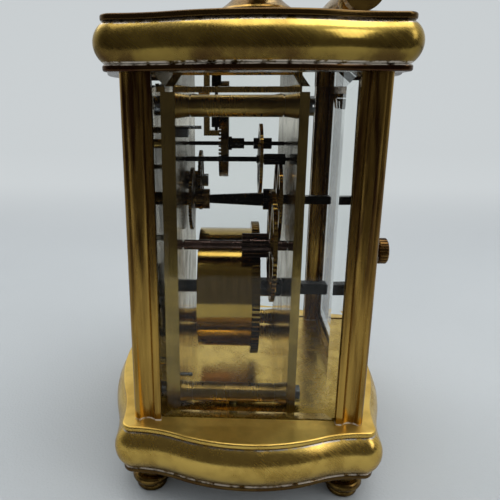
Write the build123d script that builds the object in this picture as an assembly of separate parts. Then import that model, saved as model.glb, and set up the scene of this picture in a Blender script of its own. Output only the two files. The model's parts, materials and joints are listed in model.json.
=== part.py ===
from build123d import *
import math
import os

# A brass-cased carriage clock with a serpentine plan and an eight-day spring movement.
# Millimetres, +Z up, front (dial) towards -Y, origin under the middle of the four feet.

# ---- case: driving dimensions -------------------------------------------------------------
FOOT_HEIGHT = 8.5
BASE_HEIGHT = 14.1            # base casting, feet to deck
PILLAR_HEIGHT = 88.0          # deck to cornice
CORNICE_HEIGHT = 11.6
HALF_X = 41.0                 # half width of the moulding fillets at the corners
HALF_Y = 33.4                 # half depth of the moulding fillets at the corners
BULGE = 6.0                   # how far the middle of each side swells past its corners
CONVEX_SHARE = 0.6            # share of a side that bends outwards
CORNER_R = 3.0
PILLAR_INSET = 3.2            # fillet edge to pillar face
PILLAR_WIDTH = 7.2
FLUTE_WIDTH = 4.0
FLUTE_DEPTH = 1.0
FILLET_THICK = 1.5            # flat fillets above and below the rounded mouldings
FILLET_ROUND = 0.55
NECK_THICK = 0.15             # gap between a fillet and the rounded band
NECK_IN = 1.0
BASE_SWELL = 2.2              # middle of the base's rounded band past its fillets
CORNICE_SWELL = 1.8
BAND_EDGE_IN = 0.35           # band's upper and lower edges inside the fillets
DECK_THICK = 4.0
RECESS_WALL = 10.1            # side wall of the hollow under the base
FOOT_R = 5.3
FOOT_STUD_R = 1.5
FOOT_STUD_IN_PILLAR = 8.0
TOP_PLATE = 2.6
TOP_WINDOW_X = 24.0           # half sizes of the window in the top
TOP_WINDOW_Y = 19.0
CAVITY_WALL = 8.0             # cornice wall around the inner cavity, from the fillet edge

# ---- glass --------------------------------------------------------------------------------
GLASS_EDGE = 2.2              # thickness of the rim that sits in the grooves
GLASS_RISE = 1.2              # bevel height above the rim
GLASS_BEVEL = 3.0
GROOVE_DEPTH = 1.4
GLASS_INSET = 2.1             # pillar face to the outer side of the glass rim
FRONT_GLASS_INSET = 1.5
FRONT_GLASS_EDGE = 1.6
FRONT_GLASS_RISE = 0.6
TOP_GLASS_EDGE = 1.8
SEAT = 0.1                    # clearance of glass in its grooves

# ---- back door ----------------------------------------------------------------------------
DOOR_THICK = 3.0
DOOR_GAP = 0.2
DOOR_STILE = 5.4
DOOR_LIP = 1.2
DOOR_GLASS_EDGE = 1.4
DOOR_GLASS_RISE = 0.8
HINGE_PIN_R = 0.9
HINGE_PIN_LENGTH = 2.0
KNOB_R = 3.3
KNOB_REACH = 4.4
KNOB_NECK_R = 1.6
KNOB_KNURLS = 24
KNOB_HEIGHT = 45.0            # above the deck

# ---- handle -------------------------------------------------------------------------------
POST_X = 33.0
POST_FOOT_R = 8.4
POST_FOOT_EDGE = 1.0
POST_FLARE_HIGH = 7.0         # where the flare runs into the neck
POST_NECK_R = 2.7
KNUCKLE_R = 3.5
KNUCKLE_WIDTH = 5.0
PIVOT_HEIGHT = 11.0           # above the top
ARM_THICK = 3.0
ARM_GAP = 0.3
GRIP_BACK = 22.0              # grip centre behind the pivot when folded back
GRIP_HEIGHT = 4.5             # grip centre above the top when folded back
GRIP_R = 3.4
GRIP_END_R = 4.2
PIVOT_PIN_R = 1.2

# ---- movement frame -----------------------------------------------------------------------
PLATE_HALF_WIDTH = 30.0
PLATE_HEIGHT = 83.9
PLATE_THICK = 2.3
FRONT_PLATE_Y = -18.5         # inner faces of the two plates
BACK_PLATE_Y = 10.6
PLATE_PILLAR_X = 26.5
PLATE_PILLAR_LOW = 3.2
PLATE_PILLAR_HIGH = 80.7
PLATE_PILLAR_R = 2.6
PLATE_PILLAR_END_R = 3.0
SCREW_R = 1.2
SCREW_HEAD_R = 2.3
SCREW_HEAD = 1.5
HOLD_LENGTH = 4.5             # plate screws' hold in the pillars, past the plate
RUN = 0.05                    # radial running clearance of pivots and pipes
FIT = 0.02                    # radial clearance of parts fixed on one another

# ---- train: arbor places (x, height above deck) and tooth counts -----------------------------
BARREL_AT = (0.0, 24.9)
INTERMEDIATE_AT = (15.0, 42.75)
CENTRE_AT = (0.0, 53.0)
THIRD_AT = (6.5, 65.75)
CONTRATE_AT = (-3.84, 69.25)
MINUTE_AT = (-11.0, 57.0)
BARREL_TEETH = 80
INTERMEDIATE_PINION = 12
INTERMEDIATE_TEETH = 66
CENTRE_PINION = 12
CENTRE_TEETH = 80
THIRD_PINION = 8
THIRD_TEETH = 56
CONTRATE_PINION = 8
CONTRATE_TEETH = 56
ESCAPE_PINION = 7
CANNON_TEETH = 12
MINUTE_TEETH = 42
MINUTE_PINION = 14
HOUR_TEETH = 48
ADDENDUM = 0.75               # in modules
DEDENDUM = 1.0
WHEEL_ROOT, WHEEL_TIP = 0.50, 0.28      # tooth width in pitches, wheels
LEAF_ROOT, LEAF_TIP = 0.42, 0.22        # and pinions
RIM_WIDTH = 1.7
HUB_R = 3.4
SPOKE_WIDTH = 1.3

BARREL_R = 18.6
BARREL_WALL = 1.6
BARREL_FRONT_GAP = 3.8        # front plate to barrel
BARREL_LENGTH = 15.7          # drum, up to its toothed rim
BARREL_RIM = 2.3
BARREL_COVER = 1.4
SPRING_INNER_R = 9.5
BARREL_HUB_R = 4.0
BARREL_ARBOR_R = 3.0
BARREL_PIVOT_FRONT_R = 2.0
BARREL_PIVOT_BACK_R = 2.4
WINDING_SQUARE = 3.4
WINDING_REACH = 12.2          # square's end behind the back plate
RATCHET_SQUARE = 2.8
INTERMEDIATE_TO_PLATE = 3.8   # back of each wheel to the back plate
INTERMEDIATE_THICK = 1.1
INTERMEDIATE_LEAVES = 7.4
INTERMEDIATE_SEAT_R = 1.8
INTERMEDIATE_PIVOT_R = 0.8
CENTRE_TO_PLATE = 1.4
CENTRE_THICK = 1.0
CENTRE_LEAVES = 3.6
CENTRE_SEAT_R = 1.9
CENTRE_PIVOT_R = 1.5
CENTRE_FRONT_R = 0.9           # the arbor inside the cannon pinion
SETTING_SQUARE = 2.4
SETTING_REACH = 11.6
THIRD_TO_PLATE = 7.3
THIRD_THICK = 0.9
THIRD_LEAVES = 6.0
THIRD_SEAT_R = 1.1
THIRD_PIVOT_R = 0.5
CONTRATE_LEAVES = 5.4
CONTRATE_R = 9.9
CONTRATE_BAND = 1.0
CONTRATE_TO_PLATE = 10.2      # front plate to the rim; its teeth stand further forward
CONTRATE_RIM = 2.0
CONTRATE_TOOTH = 0.7
HOUR_TO_PLATE = 1.0           # front plate to each part of the motion work
MINUTE_TO_PLATE = 2.9
MOTION_THICK = 0.9
CANNON_TO_PLATE = 2.3
CANNON_LENGTH = 2.4
COLLET_LENGTH = 2.0
CANNON_PIPE_R = 1.45
HOUR_PIPE_R = 2.0
MINUTE_STUD_R = 1.0
PINION_GAP = 0.3              # pinion leaves to the wheel on the same arbor

# ---- dial side ----------------------------------------------------------------------------
RATCHET_R = 7.0
RATCHET_TEETH = 24
RATCHET_GAP = 0.3             # front plate to ratchet wheel
RATCHET_THICK = 1.2
CLICK_GAP = 0.15
DIAL_R = 25.0
DIAL_THICK = 1.2
MASK_THICK = 0.8
DIAL_GAP = 2.4                # front plate to the back of the dial
HAND_GAP = 0.35               # dial to hour hand, and hour hand to minute hand
HOUR_HAND_THICK = 0.35
MINUTE_HAND_THICK = 0.3
HOUR_HAND_LENGTH = 13.5
MINUTE_HAND_LENGTH = 20.5

# ---- platform escapement ------------------------------------------------------------------
PLATFORM_HALF_X = 14.0
PLATFORM_THICK = 1.4
ESCAPE_TEETH = 15
ESCAPE_R = 4.0
ESCAPE_PINION_R = 1.45
CONTRATE_DEPTH = 0.45         # how deep the contrate teeth reach into the escape pinion
PALLET_DISTANCE = 5.4
BALANCE_DISTANCE = 11.3
ESCAPEMENT_TURN = 50.0        # degrees from +X to the line escape - pallet - balance
BALANCE_R = 7.0
LEVEL_ESCAPE = (1.4, 1.9)     # heights above the platform
LEVEL_ESCAPE_COCK = (2.6, 3.5)
LEVEL_BALANCE = (4.2, 5.2)
LEVEL_SPRING = (5.9, 6.3)
LEVEL_BALANCE_COCK = (7.0, 8.2)
PIVOT_R = 0.35
POTENCE_FOOT = 71.6           # above the deck
POTENCE_WIDTH = 4.0

# ---- heights and places that follow -------------------------------------------------------
BASE_Z = FOOT_HEIGHT
DECK_Z = BASE_Z + BASE_HEIGHT
CORNICE_Z = DECK_Z + PILLAR_HEIGHT
TOP_Z = CORNICE_Z + CORNICE_HEIGHT
FACE_X = HALF_X - PILLAR_INSET
FACE_Y = HALF_Y - PILLAR_INSET
POST_HALF = PILLAR_WIDTH / 2
PILLAR_X = FACE_X - POST_HALF
PILLAR_Y = FACE_Y - POST_HALF
INNER_X = FACE_X - PILLAR_WIDTH
INNER_Y = FACE_Y - PILLAR_WIDTH
PLATE_TOP = DECK_Z + PLATE_HEIGHT
PLATE_FRONT = FRONT_PLATE_Y - PLATE_THICK
PLATE_BACK = BACK_PLATE_Y + PLATE_THICK
PLATFORM_TOP = PLATE_TOP + PLATFORM_THICK
BARREL_Y = (FRONT_PLATE_Y + BARREL_FRONT_GAP, FRONT_PLATE_Y + BARREL_FRONT_GAP + BARREL_LENGTH)
WINDING_END = PLATE_BACK + WINDING_REACH
SETTING_END = PLATE_BACK + SETTING_REACH


def ahead_of_back(gap, thick):
    """Span along Y of a part whose back lies a gap in front of the back plate."""
    return (BACK_PLATE_Y - gap - thick, BACK_PLATE_Y - gap)


def behind_front(gap, thick):
    """Span along Y of a part whose front lies a gap behind the front plate."""
    return (FRONT_PLATE_Y + gap, FRONT_PLATE_Y + gap + thick)


INTERMEDIATE_Y = ahead_of_back(INTERMEDIATE_TO_PLATE, INTERMEDIATE_THICK)
INTERMEDIATE_PINION_Y = ahead_of_back(
    INTERMEDIATE_TO_PLATE + INTERMEDIATE_THICK + PINION_GAP, INTERMEDIATE_LEAVES)
CENTRE_WHEEL_Y = ahead_of_back(CENTRE_TO_PLATE, CENTRE_THICK)
CENTRE_PINION_Y = ahead_of_back(CENTRE_TO_PLATE + CENTRE_THICK + PINION_GAP, CENTRE_LEAVES)
THIRD_Y = ahead_of_back(THIRD_TO_PLATE, THIRD_THICK)
THIRD_PINION_Y = ahead_of_back(0.7, THIRD_LEAVES)
CONTRATE_PINION_Y = ahead_of_back(THIRD_TO_PLATE - 3.3, CONTRATE_LEAVES)
CONTRATE_Y = behind_front(CONTRATE_TO_PLATE, CONTRATE_RIM)
HOUR_WHEEL_Y = behind_front(HOUR_TO_PLATE, MOTION_THICK)
MINUTE_WHEEL_Y = behind_front(MINUTE_TO_PLATE, MOTION_THICK)
CANNON_Y = behind_front(CANNON_TO_PLATE, CANNON_LENGTH)
CANNON_COLLET_Y = behind_front(CANNON_TO_PLATE + CANNON_LENGTH, COLLET_LENGTH)
RATCHET_Y = (PLATE_FRONT - RATCHET_GAP - RATCHET_THICK, PLATE_FRONT - RATCHET_GAP)
DIAL_BACK_Y = PLATE_FRONT - DIAL_GAP
HOUR_HAND_BACK = DIAL_BACK_Y - DIAL_THICK - HAND_GAP
HOUR_HAND_Y = (HOUR_HAND_BACK - HOUR_HAND_THICK, HOUR_HAND_BACK)
MINUTE_HAND_BACK = HOUR_HAND_Y[0] - HAND_GAP
MINUTE_HAND_Y = (MINUTE_HAND_BACK - MINUTE_HAND_THICK, MINUTE_HAND_BACK)
CONTRATE_FRONT = CONTRATE_Y[0] - CONTRATE_TOOTH
ESCAPE_AT = (CONTRATE_AT[0], CONTRATE_FRONT + CONTRATE_DEPTH - ESCAPE_PINION_R)
LINE = (math.cos(math.radians(ESCAPEMENT_TURN)), math.sin(math.radians(ESCAPEMENT_TURN)))
PALLET_AT = (ESCAPE_AT[0] + PALLET_DISTANCE * LINE[0], ESCAPE_AT[1] + PALLET_DISTANCE * LINE[1])
BALANCE_AT = (ESCAPE_AT[0] + BALANCE_DISTANCE * LINE[0], ESCAPE_AT[1] + BALANCE_DISTANCE * LINE[1])
HINGE_AT = (-(INNER_X - DOOR_GAP - DOOR_THICK / 2), FACE_Y - DOOR_THICK / 2)
PIVOT_Z = TOP_Z + PIVOT_HEIGHT
ARM_X = POST_X + KNUCKLE_WIDTH / 2 + ARM_GAP

LOW = (Align.CENTER, Align.CENTER, Align.MIN)


# ---- helpers ------------------------------------------------------------------------------
def post_z(x, y, z0, z1, r):
    """Cylinder standing along Z."""
    return Pos(x, y, z0) * Cylinder(r, z1 - z0, align=LOW)


def rod_y(x, z, y0, y1, r):
    """Cylinder lying along Y; z is an absolute height."""
    return Pos(x, y0, z) * Rot(-90, 0, 0) * Cylinder(r, y1 - y0, align=LOW)


def rod_x(y, z, x0, x1, r):
    """Cylinder lying along X."""
    return Pos(x0, y, z) * Rot(0, 90, 0) * Cylinder(r, x1 - x0, align=LOW)


def block(x0, x1, y0, y1, z0, z1):
    """Box between two corners."""
    return Pos((x0 + x1) / 2, (y0 + y1) / 2, (z0 + z1) / 2) * Box(x1 - x0, y1 - y0, z1 - z0)


def slab_y(face, x, z, y0, y1):
    """Extrude a flat face (its x to X, its y to Z) between two Y planes."""
    place = Plane(origin=(x, y1, z), x_dir=(1, 0, 0), z_dir=(0, -1, 0))
    return extrude(place * face, amount=y1 - y0)


def slab_z(face, x, y, z0, z1):
    """Extrude a flat face between two heights."""
    return extrude(Pos(x, y, z0) * face, amount=z1 - z0)


def arbor(at, steps):
    """Stepped turned arbor along Y: steps are (y0, y1, radius)."""
    x, z = at[0], DECK_Z + at[1]
    return Part() + [rod_y(x, z, y0, y1, r) for y0, y1, r in steps]


def distance(a, b):
    return math.hypot(b[0] - a[0], b[1] - a[1])


def heading(a, b):
    """Angle from a to b, radians from +X towards +Z."""
    return math.atan2(b[1] - a[1], b[0] - a[0])


def pitch_radius(own, other, centres):
    return centres * own / (own + other)


def tooth_ring(teeth, radius, module, root, tip, start):
    """Toothed outline with one tooth centred on the start angle."""
    pitch = 2 * math.pi / teeth
    corners = (
        (radius - DEDENDUM * module, -root / 2),
        (radius + ADDENDUM * module, -tip / 2),
        (radius + ADDENDUM * module, tip / 2),
        (radius - DEDENDUM * module, root / 2),
    )
    points = []
    for tooth in range(teeth):
        for r, offset in corners:
            angle = start + (tooth + offset) * pitch
            points.append((r * math.cos(angle), r * math.sin(angle)))
    return make_face(Polyline(*points, close=True))


def meshed_pair(driver_at, driven_at, teeth, leaves):
    """Outlines of a wheel at one place and its pinion at another, in mesh."""
    centres = distance(driver_at, driven_at)
    module = 2 * centres / (teeth + leaves)
    angle = heading(driver_at, driven_at)
    wheel = tooth_ring(teeth, pitch_radius(teeth, leaves, centres), module, WHEEL_ROOT, WHEEL_TIP, angle)
    gap_first = angle + math.pi + math.pi / leaves
    pinion = tooth_ring(leaves, pitch_radius(leaves, teeth, centres), module, LEAF_ROOT, LEAF_TIP, gap_first)
    return wheel, pinion


def crossings(rim_inner, hub, spokes):
    """The windows between the spokes of a wheel."""
    windows = Circle(rim_inner) - Circle(hub)
    for spoke in range(spokes):
        arm = Pos(rim_inner / 2, 0) * Rectangle(rim_inner * 1.1, SPOKE_WIDTH)
        windows -= Rot(0, 0, 360.0 / spokes * spoke) * arm
    return windows


def crossed_wheel(outline, pitch_r, hub, spokes, bore):
    return outline - crossings(pitch_r - RIM_WIDTH, hub, spokes) - Circle(bore)


def serpentine(grow=0.0):
    """Case plan: rounded corners, each side an ogee that swells in its middle."""
    sides = (
        ((1, 0), (0, 1), HALF_X, HALF_Y - CORNER_R),
        ((0, 1), (-1, 0), HALF_Y, HALF_X - CORNER_R),
        ((-1, 0), (0, -1), HALF_X, HALF_Y - CORNER_R),
        ((0, -1), (1, 0), HALF_Y, HALF_X - CORNER_R),
    )
    edges = []
    for normal, along, half, reach in sides:
        bend = 2 * math.atan(BULGE / reach)
        radii = reach / math.sin(bend)
        outer = CONVEX_SHARE * radii
        hollow = radii - outer

        def at(out, run):
            return (normal[0] * out + along[0] * run, normal[1] * out + along[1] * run)

        def convex(angle):
            r = outer + grow
            return at(half + BULGE - outer + r * math.cos(angle), r * math.sin(angle))

        def concave(side, angle):
            r = hollow - grow
            return at(half + hollow - r * math.cos(angle), side * (reach - r * math.sin(angle)))

        def corner(angle):
            r = CORNER_R + grow
            return at(half - CORNER_R + r * math.cos(angle), reach + r * math.sin(angle))

        edges.append(ThreePointArc(concave(-1, 0), concave(-1, bend / 2), concave(-1, bend)))
        edges.append(ThreePointArc(convex(-bend), convex(0), convex(bend)))
        edges.append(ThreePointArc(concave(1, bend), concave(1, bend / 2), concave(1, 0)))
        edges.append(ThreePointArc(corner(0), corner(math.pi / 4), corner(math.pi / 2)))
    return make_face(Wire(edges))


def rounded_layer(z0, z1, grow, radius):
    """One layer of a moulding with its upper and lower edges rounded."""
    layer = slab_z(serpentine(grow), 0, 0, z0, z1)
    rims = layer.faces().filter_by(Axis.Z).edges()
    return fillet(rims, min(radius, (z1 - z0) / 2 - 0.1))


def rounded_band(z0, z1, swell):
    """Band that follows the plan, its outer face one shallow arc from edge to edge."""
    path = serpentine().faces()[0].outer_wire()
    start = path @ 0
    along = path % 0
    out = Vector(along.Y, -along.X, 0)
    if out.dot(Vector(start.X, start.Y, 0)) < 0:
        out = -out
    middle = (z0 + z1) / 2
    half = (z1 - z0) / 2
    side = Plane(origin=(start.X, start.Y, middle), x_dir=out, z_dir=out.cross(Vector(0, 0, 1)))
    arc = ThreePointArc((-BAND_EDGE_IN, -half), (swell, 0), (-BAND_EDGE_IN, half))
    back = Polyline((-BAND_EDGE_IN, half), (-NECK_IN - 1, half), (-NECK_IN - 1, -half), (-BAND_EDGE_IN, -half))
    return sweep(side * make_face([arc, back]), path=path)


def moulding(z0, height, swell):
    """Fillet, neck, rounded band, neck, fillet, stacked from z0."""
    z1 = z0 + height
    band_low = z0 + FILLET_THICK + NECK_THICK
    band_high = z1 - FILLET_THICK - NECK_THICK
    body = rounded_layer(z0, z0 + FILLET_THICK, 0.0, FILLET_ROUND)
    body += slab_z(serpentine(-NECK_IN), 0, 0, z0 + FILLET_THICK / 2, z1 - FILLET_THICK / 2)
    body += rounded_band(band_low, band_high, swell)
    body += rounded_layer(z1 - FILLET_THICK, z1, 0.0, FILLET_ROUND)
    return body


def glass_sheet(width, height, edge, rise):
    """Bevelled plate, its rim flat for the groove; thickness along +Z from the inner face."""
    sheet = Box(width, height, edge, align=LOW)
    raised_w = width - 2 * GROOVE_DEPTH
    raised_h = height - 2 * GROOVE_DEPTH
    low = Pos(0, 0, edge) * Rectangle(raised_w, raised_h)
    high = Pos(0, 0, edge + rise) * Rectangle(raised_w - 2 * GLASS_BEVEL, raised_h - 2 * GLASS_BEVEL)
    return sheet + loft([low, high], ruled=True)


def corners_of(x, y):
    return ((-x, -y), (x, -y), (-x, y), (x, y))


# ---- case ---------------------------------------------------------------------------------
def glass_plan_boxes(z0, z1):
    """Channels for the three framed panels, as boxes between two heights."""
    side_in = FACE_X - GLASS_INSET - GLASS_EDGE - SEAT
    side_out = FACE_X - GLASS_INSET + SEAT
    reach = INNER_Y + GROOVE_DEPTH + SEAT
    front_in = -(FACE_Y - FRONT_GLASS_INSET - FRONT_GLASS_EDGE - SEAT)
    front_out = -(FACE_Y - FRONT_GLASS_INSET + SEAT)
    front_reach = INNER_X + GROOVE_DEPTH + SEAT
    return (
        block(side_in, side_out, -reach, reach, z0, z1),
        block(-side_out, -side_in, -reach, reach, z0, z1),
        block(-front_reach, front_reach, front_out, front_in, z0, z1),
    )


def make_base():
    body = moulding(BASE_Z, BASE_HEIGHT, BASE_SWELL)
    recess_x = HALF_X - RECESS_WALL
    recess_y = HALF_Y - RECESS_WALL
    recess = Box(2 * recess_x, 2 * recess_y, BASE_HEIGHT - DECK_THICK, align=LOW)
    body -= Pos(0, 0, BASE_Z) * fillet(recess.edges().filter_by(Axis.Z), CORNER_R)
    for x, y in corners_of(PILLAR_X, PILLAR_Y):
        body -= post_z(x, y, BASE_Z, DECK_Z, FOOT_STUD_R + FIT)
    for channel in glass_plan_boxes(DECK_Z - GROOVE_DEPTH - SEAT, DECK_Z):
        body -= channel
    body -= post_z(*HINGE_AT, DECK_Z - HINGE_PIN_LENGTH, DECK_Z, HINGE_PIN_R + RUN)
    for x in (-PLATE_PILLAR_X, PLATE_PILLAR_X):
        body -= post_z(x, hold_down_y(), DECK_Z - DECK_THICK, DECK_Z, SCREW_R + FIT)
    return body


def hold_down_y():
    """The movement's hold-down screws enter the lower pillars at mid-length."""
    return (FRONT_PLATE_Y + BACK_PLATE_Y) / 2


def make_cornice():
    body = moulding(CORNICE_Z, CORNICE_HEIGHT, CORNICE_SWELL)
    cavity_x = HALF_X - CAVITY_WALL
    cavity_y = HALF_Y - CAVITY_WALL
    ceiling = TOP_Z - TOP_PLATE
    body -= block(-cavity_x, cavity_x, -cavity_y, cavity_y, CORNICE_Z, ceiling)
    window = Box(2 * TOP_WINDOW_X, 2 * TOP_WINDOW_Y, TOP_PLATE, align=LOW)
    body -= Pos(0, 0, ceiling) * fillet(window.edges().filter_by(Axis.Z), CORNER_R)
    pocket_floor = CORNICE_Z + 2 * FILLET_THICK
    for x, y in corners_of(PILLAR_X, PILLAR_Y):
        body -= post_z(x, y, CORNICE_Z, ceiling, SCREW_R + FIT)
        body -= post_z(x, y, pocket_floor, ceiling, SCREW_HEAD_R + 0.4)
    for channel in glass_plan_boxes(CORNICE_Z, CORNICE_Z + GROOVE_DEPTH + SEAT):
        body -= channel
    body -= post_z(*HINGE_AT, CORNICE_Z, CORNICE_Z + HINGE_PIN_LENGTH, HINGE_PIN_R + RUN)
    for side in (-1, 1):
        body -= post_z(side * POST_X, 0, ceiling, TOP_Z, POST_NECK_R / 2 + FIT)
    return body


def make_pillar(side_x, side_y):
    """Square post, a flute in each outer face, grooves for the glass."""
    x, y = side_x * PILLAR_X, side_y * PILLAR_Y
    post = Pos(x, y, DECK_Z) * Box(PILLAR_WIDTH, PILLAR_WIDTH, PILLAR_HEIGHT, align=LOW)
    outer = post.edges().filter_by(Axis.Z).sort_by(lambda e: side_x * e.center().X + side_y * e.center().Y)
    post = fillet(outer[-1], (PILLAR_WIDTH - FLUTE_WIDTH) / 2 - 0.05)
    inner_flat = (PILLAR_WIDTH - FLUTE_WIDTH) / 2
    flute_r = (FLUTE_WIDTH ** 2 / 4 + FLUTE_DEPTH ** 2) / (2 * FLUTE_DEPTH)
    out = flute_r - FLUTE_DEPTH
    post -= post_z(side_x * (FACE_X + out), y, DECK_Z, CORNICE_Z, flute_r)
    post -= post_z(x, side_y * (FACE_Y + out), DECK_Z, CORNICE_Z, flute_r)
    channels = glass_plan_boxes(DECK_Z, CORNICE_Z)
    post -= channels[0] if side_x > 0 else channels[1]
    if side_y < 0:
        post -= channels[2]
    inner = post.edges().filter_by(Axis.Z).sort_by(lambda e: side_x * e.center().X + side_y * e.center().Y)
    post = chamfer(inner[0], inner_flat / 2)
    post -= post_z(x, y, DECK_Z, DECK_Z + FOOT_STUD_IN_PILLAR + 0.5, FOOT_STUD_R + FIT)
    post -= post_z(x, y, CORNICE_Z - FOOT_STUD_IN_PILLAR, CORNICE_Z, SCREW_R + FIT)
    return post


def make_foot(x, y):
    """Turned foot, a round collar over a smaller bead, with the stud that holds base and pillar."""
    r, h = FOOT_R, FOOT_HEIGHT
    with BuildPart() as foot:
        with BuildSketch(Plane.XZ):
            with BuildLine():
                Line((0, 0), (0.62 * r, 0))
                ThreePointArc((0.62 * r, 0), (0.80 * r, 0.14 * h), (0.70 * r, 0.27 * h))
                Line((0.70 * r, 0.27 * h), (0.90 * r, 0.31 * h))
                ThreePointArc((0.90 * r, 0.31 * h), (r, 0.44 * h), (0.88 * r, 0.58 * h))
                Line((0.88 * r, 0.58 * h), (0.70 * r, 0.62 * h))
                ThreePointArc((0.70 * r, 0.62 * h), (0.64 * r, 0.76 * h), (0.74 * r, 0.90 * h))
                Line((0.74 * r, 0.90 * h), (0.86 * r, 0.93 * h))
                Line((0.86 * r, 0.93 * h), (0.86 * r, h))
                Line((0.86 * r, h), (0, h))
                Line((0, h), (0, 0))
            make_face()
        revolve(axis=Axis.Z)
    stud_top = DECK_Z + FOOT_STUD_IN_PILLAR
    return Pos(x, y, 0) * foot.part + post_z(x, y, FOOT_HEIGHT, stud_top, FOOT_STUD_R)


def make_case_screws():
    """Four screws from the cornice's pockets down into the pillars."""
    floor = CORNICE_Z + 2 * FILLET_THICK
    screws = []
    for x, y in corners_of(PILLAR_X, PILLAR_Y):
        shank = post_z(x, y, CORNICE_Z - FOOT_STUD_IN_PILLAR + 0.5, floor, SCREW_R)
        screws.append(shank + slotted_head(x, y, floor))
    return screws


def slotted_head(x, y, z):
    """Cheese head standing on z, slotted across."""
    head = post_z(x, y, z, z + SCREW_HEAD, SCREW_HEAD_R)
    return head - Pos(x, y, z + SCREW_HEAD) * Box(2.2 * SCREW_HEAD_R, 0.6, SCREW_HEAD * 0.8)


def make_side_glass(side):
    width = 2 * (INNER_Y + GROOVE_DEPTH)
    height = PILLAR_HEIGHT + 2 * GROOVE_DEPTH
    sheet = glass_sheet(width, height, GLASS_EDGE, GLASS_RISE)
    inner_x = side * (FACE_X - GLASS_INSET - GLASS_EDGE)
    middle = (DECK_Z + CORNICE_Z) / 2
    return Plane(origin=(inner_x, 0, middle), x_dir=(0, side, 0), z_dir=(side, 0, 0)) * sheet


def make_front_glass():
    width = 2 * (INNER_X + GROOVE_DEPTH)
    height = PILLAR_HEIGHT + 2 * GROOVE_DEPTH
    sheet = glass_sheet(width, height, FRONT_GLASS_EDGE, FRONT_GLASS_RISE)
    inner_y = -(FACE_Y - FRONT_GLASS_INSET - FRONT_GLASS_EDGE)
    middle = (DECK_Z + CORNICE_Z) / 2
    return Plane(origin=(0, inner_y, middle), x_dir=(1, 0, 0), z_dir=(0, -1, 0)) * sheet


def make_top_glass():
    """Seen through the window in the top; its rim bears on the underside."""
    width = 2 * (TOP_WINDOW_X - SEAT + GROOVE_DEPTH)
    depth = 2 * (TOP_WINDOW_Y - SEAT + GROOVE_DEPTH)
    rim = fillet(Box(width, depth, TOP_GLASS_EDGE, align=LOW).edges().filter_by(Axis.Z), CORNER_R)
    field = 2 * (GROOVE_DEPTH + 0.4)
    low = Pos(0, 0, TOP_GLASS_EDGE) * RectangleRounded(width - field, depth - field, CORNER_R)
    inset = field + 2 * GLASS_BEVEL
    high = Pos(0, 0, TOP_GLASS_EDGE + GLASS_RISE) * RectangleRounded(width - inset, depth - inset, 1.0)
    return Pos(0, 0, TOP_Z - TOP_PLATE - TOP_GLASS_EDGE) * (rim + loft([low, high], ruled=True))


# ---- door ---------------------------------------------------------------------------------
def door_rectangle(inset, y0, y1):
    half = INNER_X - DOOR_GAP - inset
    low = DECK_Z + DOOR_GAP + inset
    high = CORNICE_Z - DOOR_GAP - inset
    return block(-half, half, y0, y1, low, high)


def make_door_frame():
    back = FACE_Y
    front = FACE_Y - DOOR_THICK
    frame = door_rectangle(0.0, front, back)
    hinge_side = frame.edges().filter_by(Axis.Z).sort_by(Axis.X)[:2]
    frame = fillet(hinge_side, DOOR_THICK / 2 - 0.02)
    frame -= door_rectangle(DOOR_STILE, front, back)
    frame -= door_rectangle(DOOR_STILE - DOOR_LIP, front, back - DOOR_LIP)
    inner_rim = frame.faces().sort_by(Axis.Y)[-1].inner_wires()[0].edges()
    frame = chamfer(inner_rim, 0.5)
    low = DECK_Z + DOOR_GAP
    high = CORNICE_Z - DOOR_GAP
    frame += post_z(*HINGE_AT, DECK_Z - HINGE_PIN_LENGTH + 0.2, low + 1, HINGE_PIN_R)
    frame += post_z(*HINGE_AT, high - 1, CORNICE_Z + HINGE_PIN_LENGTH - 0.2, HINGE_PIN_R)
    knob_x = -HINGE_AT[0] - DOOR_STILE / 2 + DOOR_THICK / 2
    return frame - rod_y(knob_x, DECK_Z + KNOB_HEIGHT, front, back, KNOB_NECK_R * 0.7 + FIT)


def make_door_glass():
    half = INNER_X - DOOR_GAP - DOOR_STILE + DOOR_LIP - SEAT
    height = PILLAR_HEIGHT - 2 * (DOOR_GAP + DOOR_STILE - DOOR_LIP + SEAT)
    sheet = glass_sheet(2 * half, height, DOOR_GLASS_EDGE, DOOR_GLASS_RISE)
    inner_y = FACE_Y - DOOR_LIP - DOOR_GLASS_EDGE
    middle = (DECK_Z + CORNICE_Z) / 2
    return Plane(origin=(0, inner_y, middle), x_dir=(-1, 0, 0), z_dir=(0, 1, 0)) * sheet


def make_door_knob():
    """Milled knob on a short neck, its spindle through the stile."""
    x = -HINGE_AT[0] - DOOR_STILE / 2 + DOOR_THICK / 2
    z = DECK_Z + KNOB_HEIGHT
    end = FACE_Y + KNOB_REACH
    head = rod_y(x, z, end - 2.4, end, KNOB_R)
    head = chamfer(head.edges().filter_by(GeomType.CIRCLE), 0.3)
    for notch in range(KNOB_KNURLS):
        angle = 2 * math.pi * notch / KNOB_KNURLS
        cut = rod_y(x + KNOB_R * math.cos(angle), z + KNOB_R * math.sin(angle), end - 2.4, end, 0.22)
        head -= cut
    neck = rod_y(x, z, FACE_Y, end - 2.4, KNOB_NECK_R)
    return head + neck + rod_y(x, z, FACE_Y - DOOR_THICK, FACE_Y, KNOB_NECK_R * 0.7)


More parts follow.
